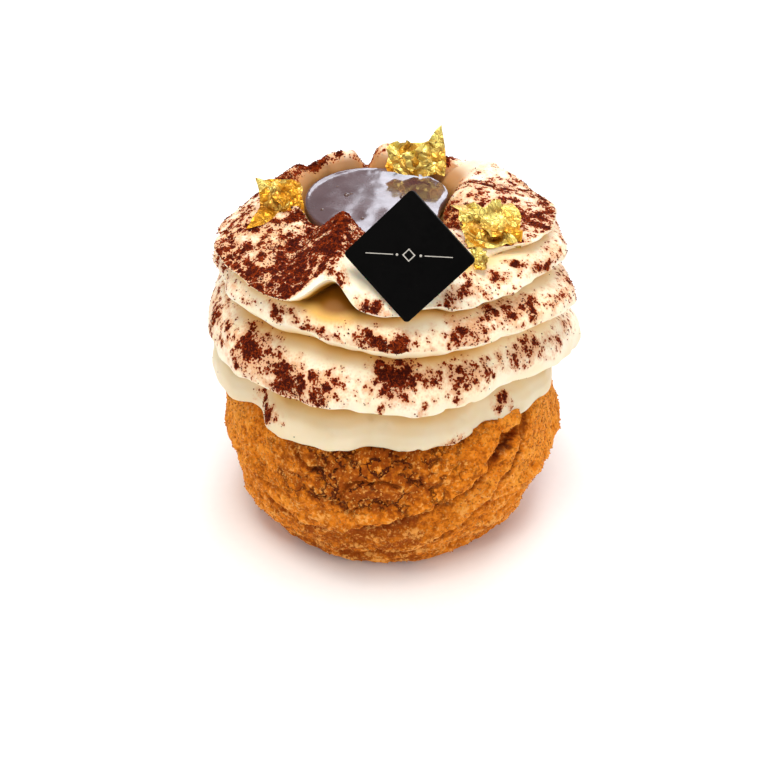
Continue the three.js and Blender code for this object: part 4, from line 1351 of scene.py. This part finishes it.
# %% Gold leaf: torn edge
def tear_edge(sheet, size, corners, seed):
    """Deletes the outer faces that noise picks, but none in a drawn-out corner."""
    points = read_points(sheet)
    reach_x, reach_y = size[0] / 2, size[1] / 2
    edge = np.maximum(np.abs(points[:, 0]) / reach_x, np.abs(points[:, 1]) / reach_y)
    flattened = points * np.array([1, 1, 0])
    torn = edge + 0.3 * noise_at(flattened, 2.2, seed + 9)
    torn += 0.1 * noise_at(flattened, 0.7, seed + 4)
    kept = np.zeros(len(points), dtype=bool)
    for across, along, _, _ in corners:
        kept |= (points[:, 0] * across > 0.45 * reach_x) & (points[:, 1] * along > 0.45 * reach_y)
    goes = (torn > 1.06) & ~kept
    bpy.ops.object.mode_set(mode="EDIT")
    bpy.ops.mesh.select_mode(type="FACE")
    bpy.ops.mesh.select_all(action="DESELECT")
    bpy.ops.object.mode_set(mode="OBJECT")
    for face in sheet.data.polygons:
        face.select = all(goes[i] for i in face.vertices)
    bpy.ops.object.mode_set(mode="EDIT")
    bpy.ops.mesh.delete(type="FACE")
    bpy.ops.object.mode_set(mode="OBJECT")


# %% Gold leaf: one sheet
def crumpled_sheet(size, facet, corners, seed, pale):
    """One torn and crumpled sheet of leaf, lying flat round the origin."""
    sheet = crumpled_grid(size, facet, corners, seed)
    tear_edge(sheet, size, corners, seed)
    points = read_points(sheet)
    # Painted shade for the low points of the crumple.
    store_values(sheet, "crease_shade", np.clip(0.5 - points[:, 2] / facet, 0, 1))
    store_values(sheet, "pale", pale + 0.3 * points[:, 1] / (size[1] / 2))
    apply_modifier(sheet, "SOLIDIFY", thickness=LEAF_THICKNESS * MM, offset=0)
    return sheet


# %% Gold leaf: flakes in their places
for node, (at, size, facet, tilt, turned, seed, pale, corners) in GOLD_FLAKES.items():
    whole = crumpled_sheet(size, facet, corners, seed, pale)
    folded = crumpled_sheet((size[0] * 0.62, size[1] * 0.66), facet * 0.85, [], seed + 40,
                            pale + 0.25)
    folded.data.transform(Matrix.Translation(Vector((0.08 * size[0], 0.08 * size[1], 1.0)) * MM)
                          @ Euler((0.3, 0.2, 0.5)).to_matrix().to_4x4())
    deselect_all()
    whole.select_set(True)
    folded.select_set(True)
    bpy.context.view_layer.objects.active = whole
    bpy.ops.object.join()
    flake = bpy.context.object
    flake.data.transform(Matrix.Translation(Vector(at) * MM)
                         @ Matrix.Rotation(math.radians(turned), 4, "Z")
                         @ Matrix.Rotation(math.radians(tilt), 4, "X"))
    close_seams(flake, 0.0005)
    hand_over(flake, node.replace("gold_leaf", "gold_flake"), beaten_gold, "gold", node)

# %% [markdown]
# The colours above are meant to be seen as they are, so the view uses Blender's plain
# Standard transform.

# %% Finish
bpy.context.scene.view_settings.view_transform = "Standard"
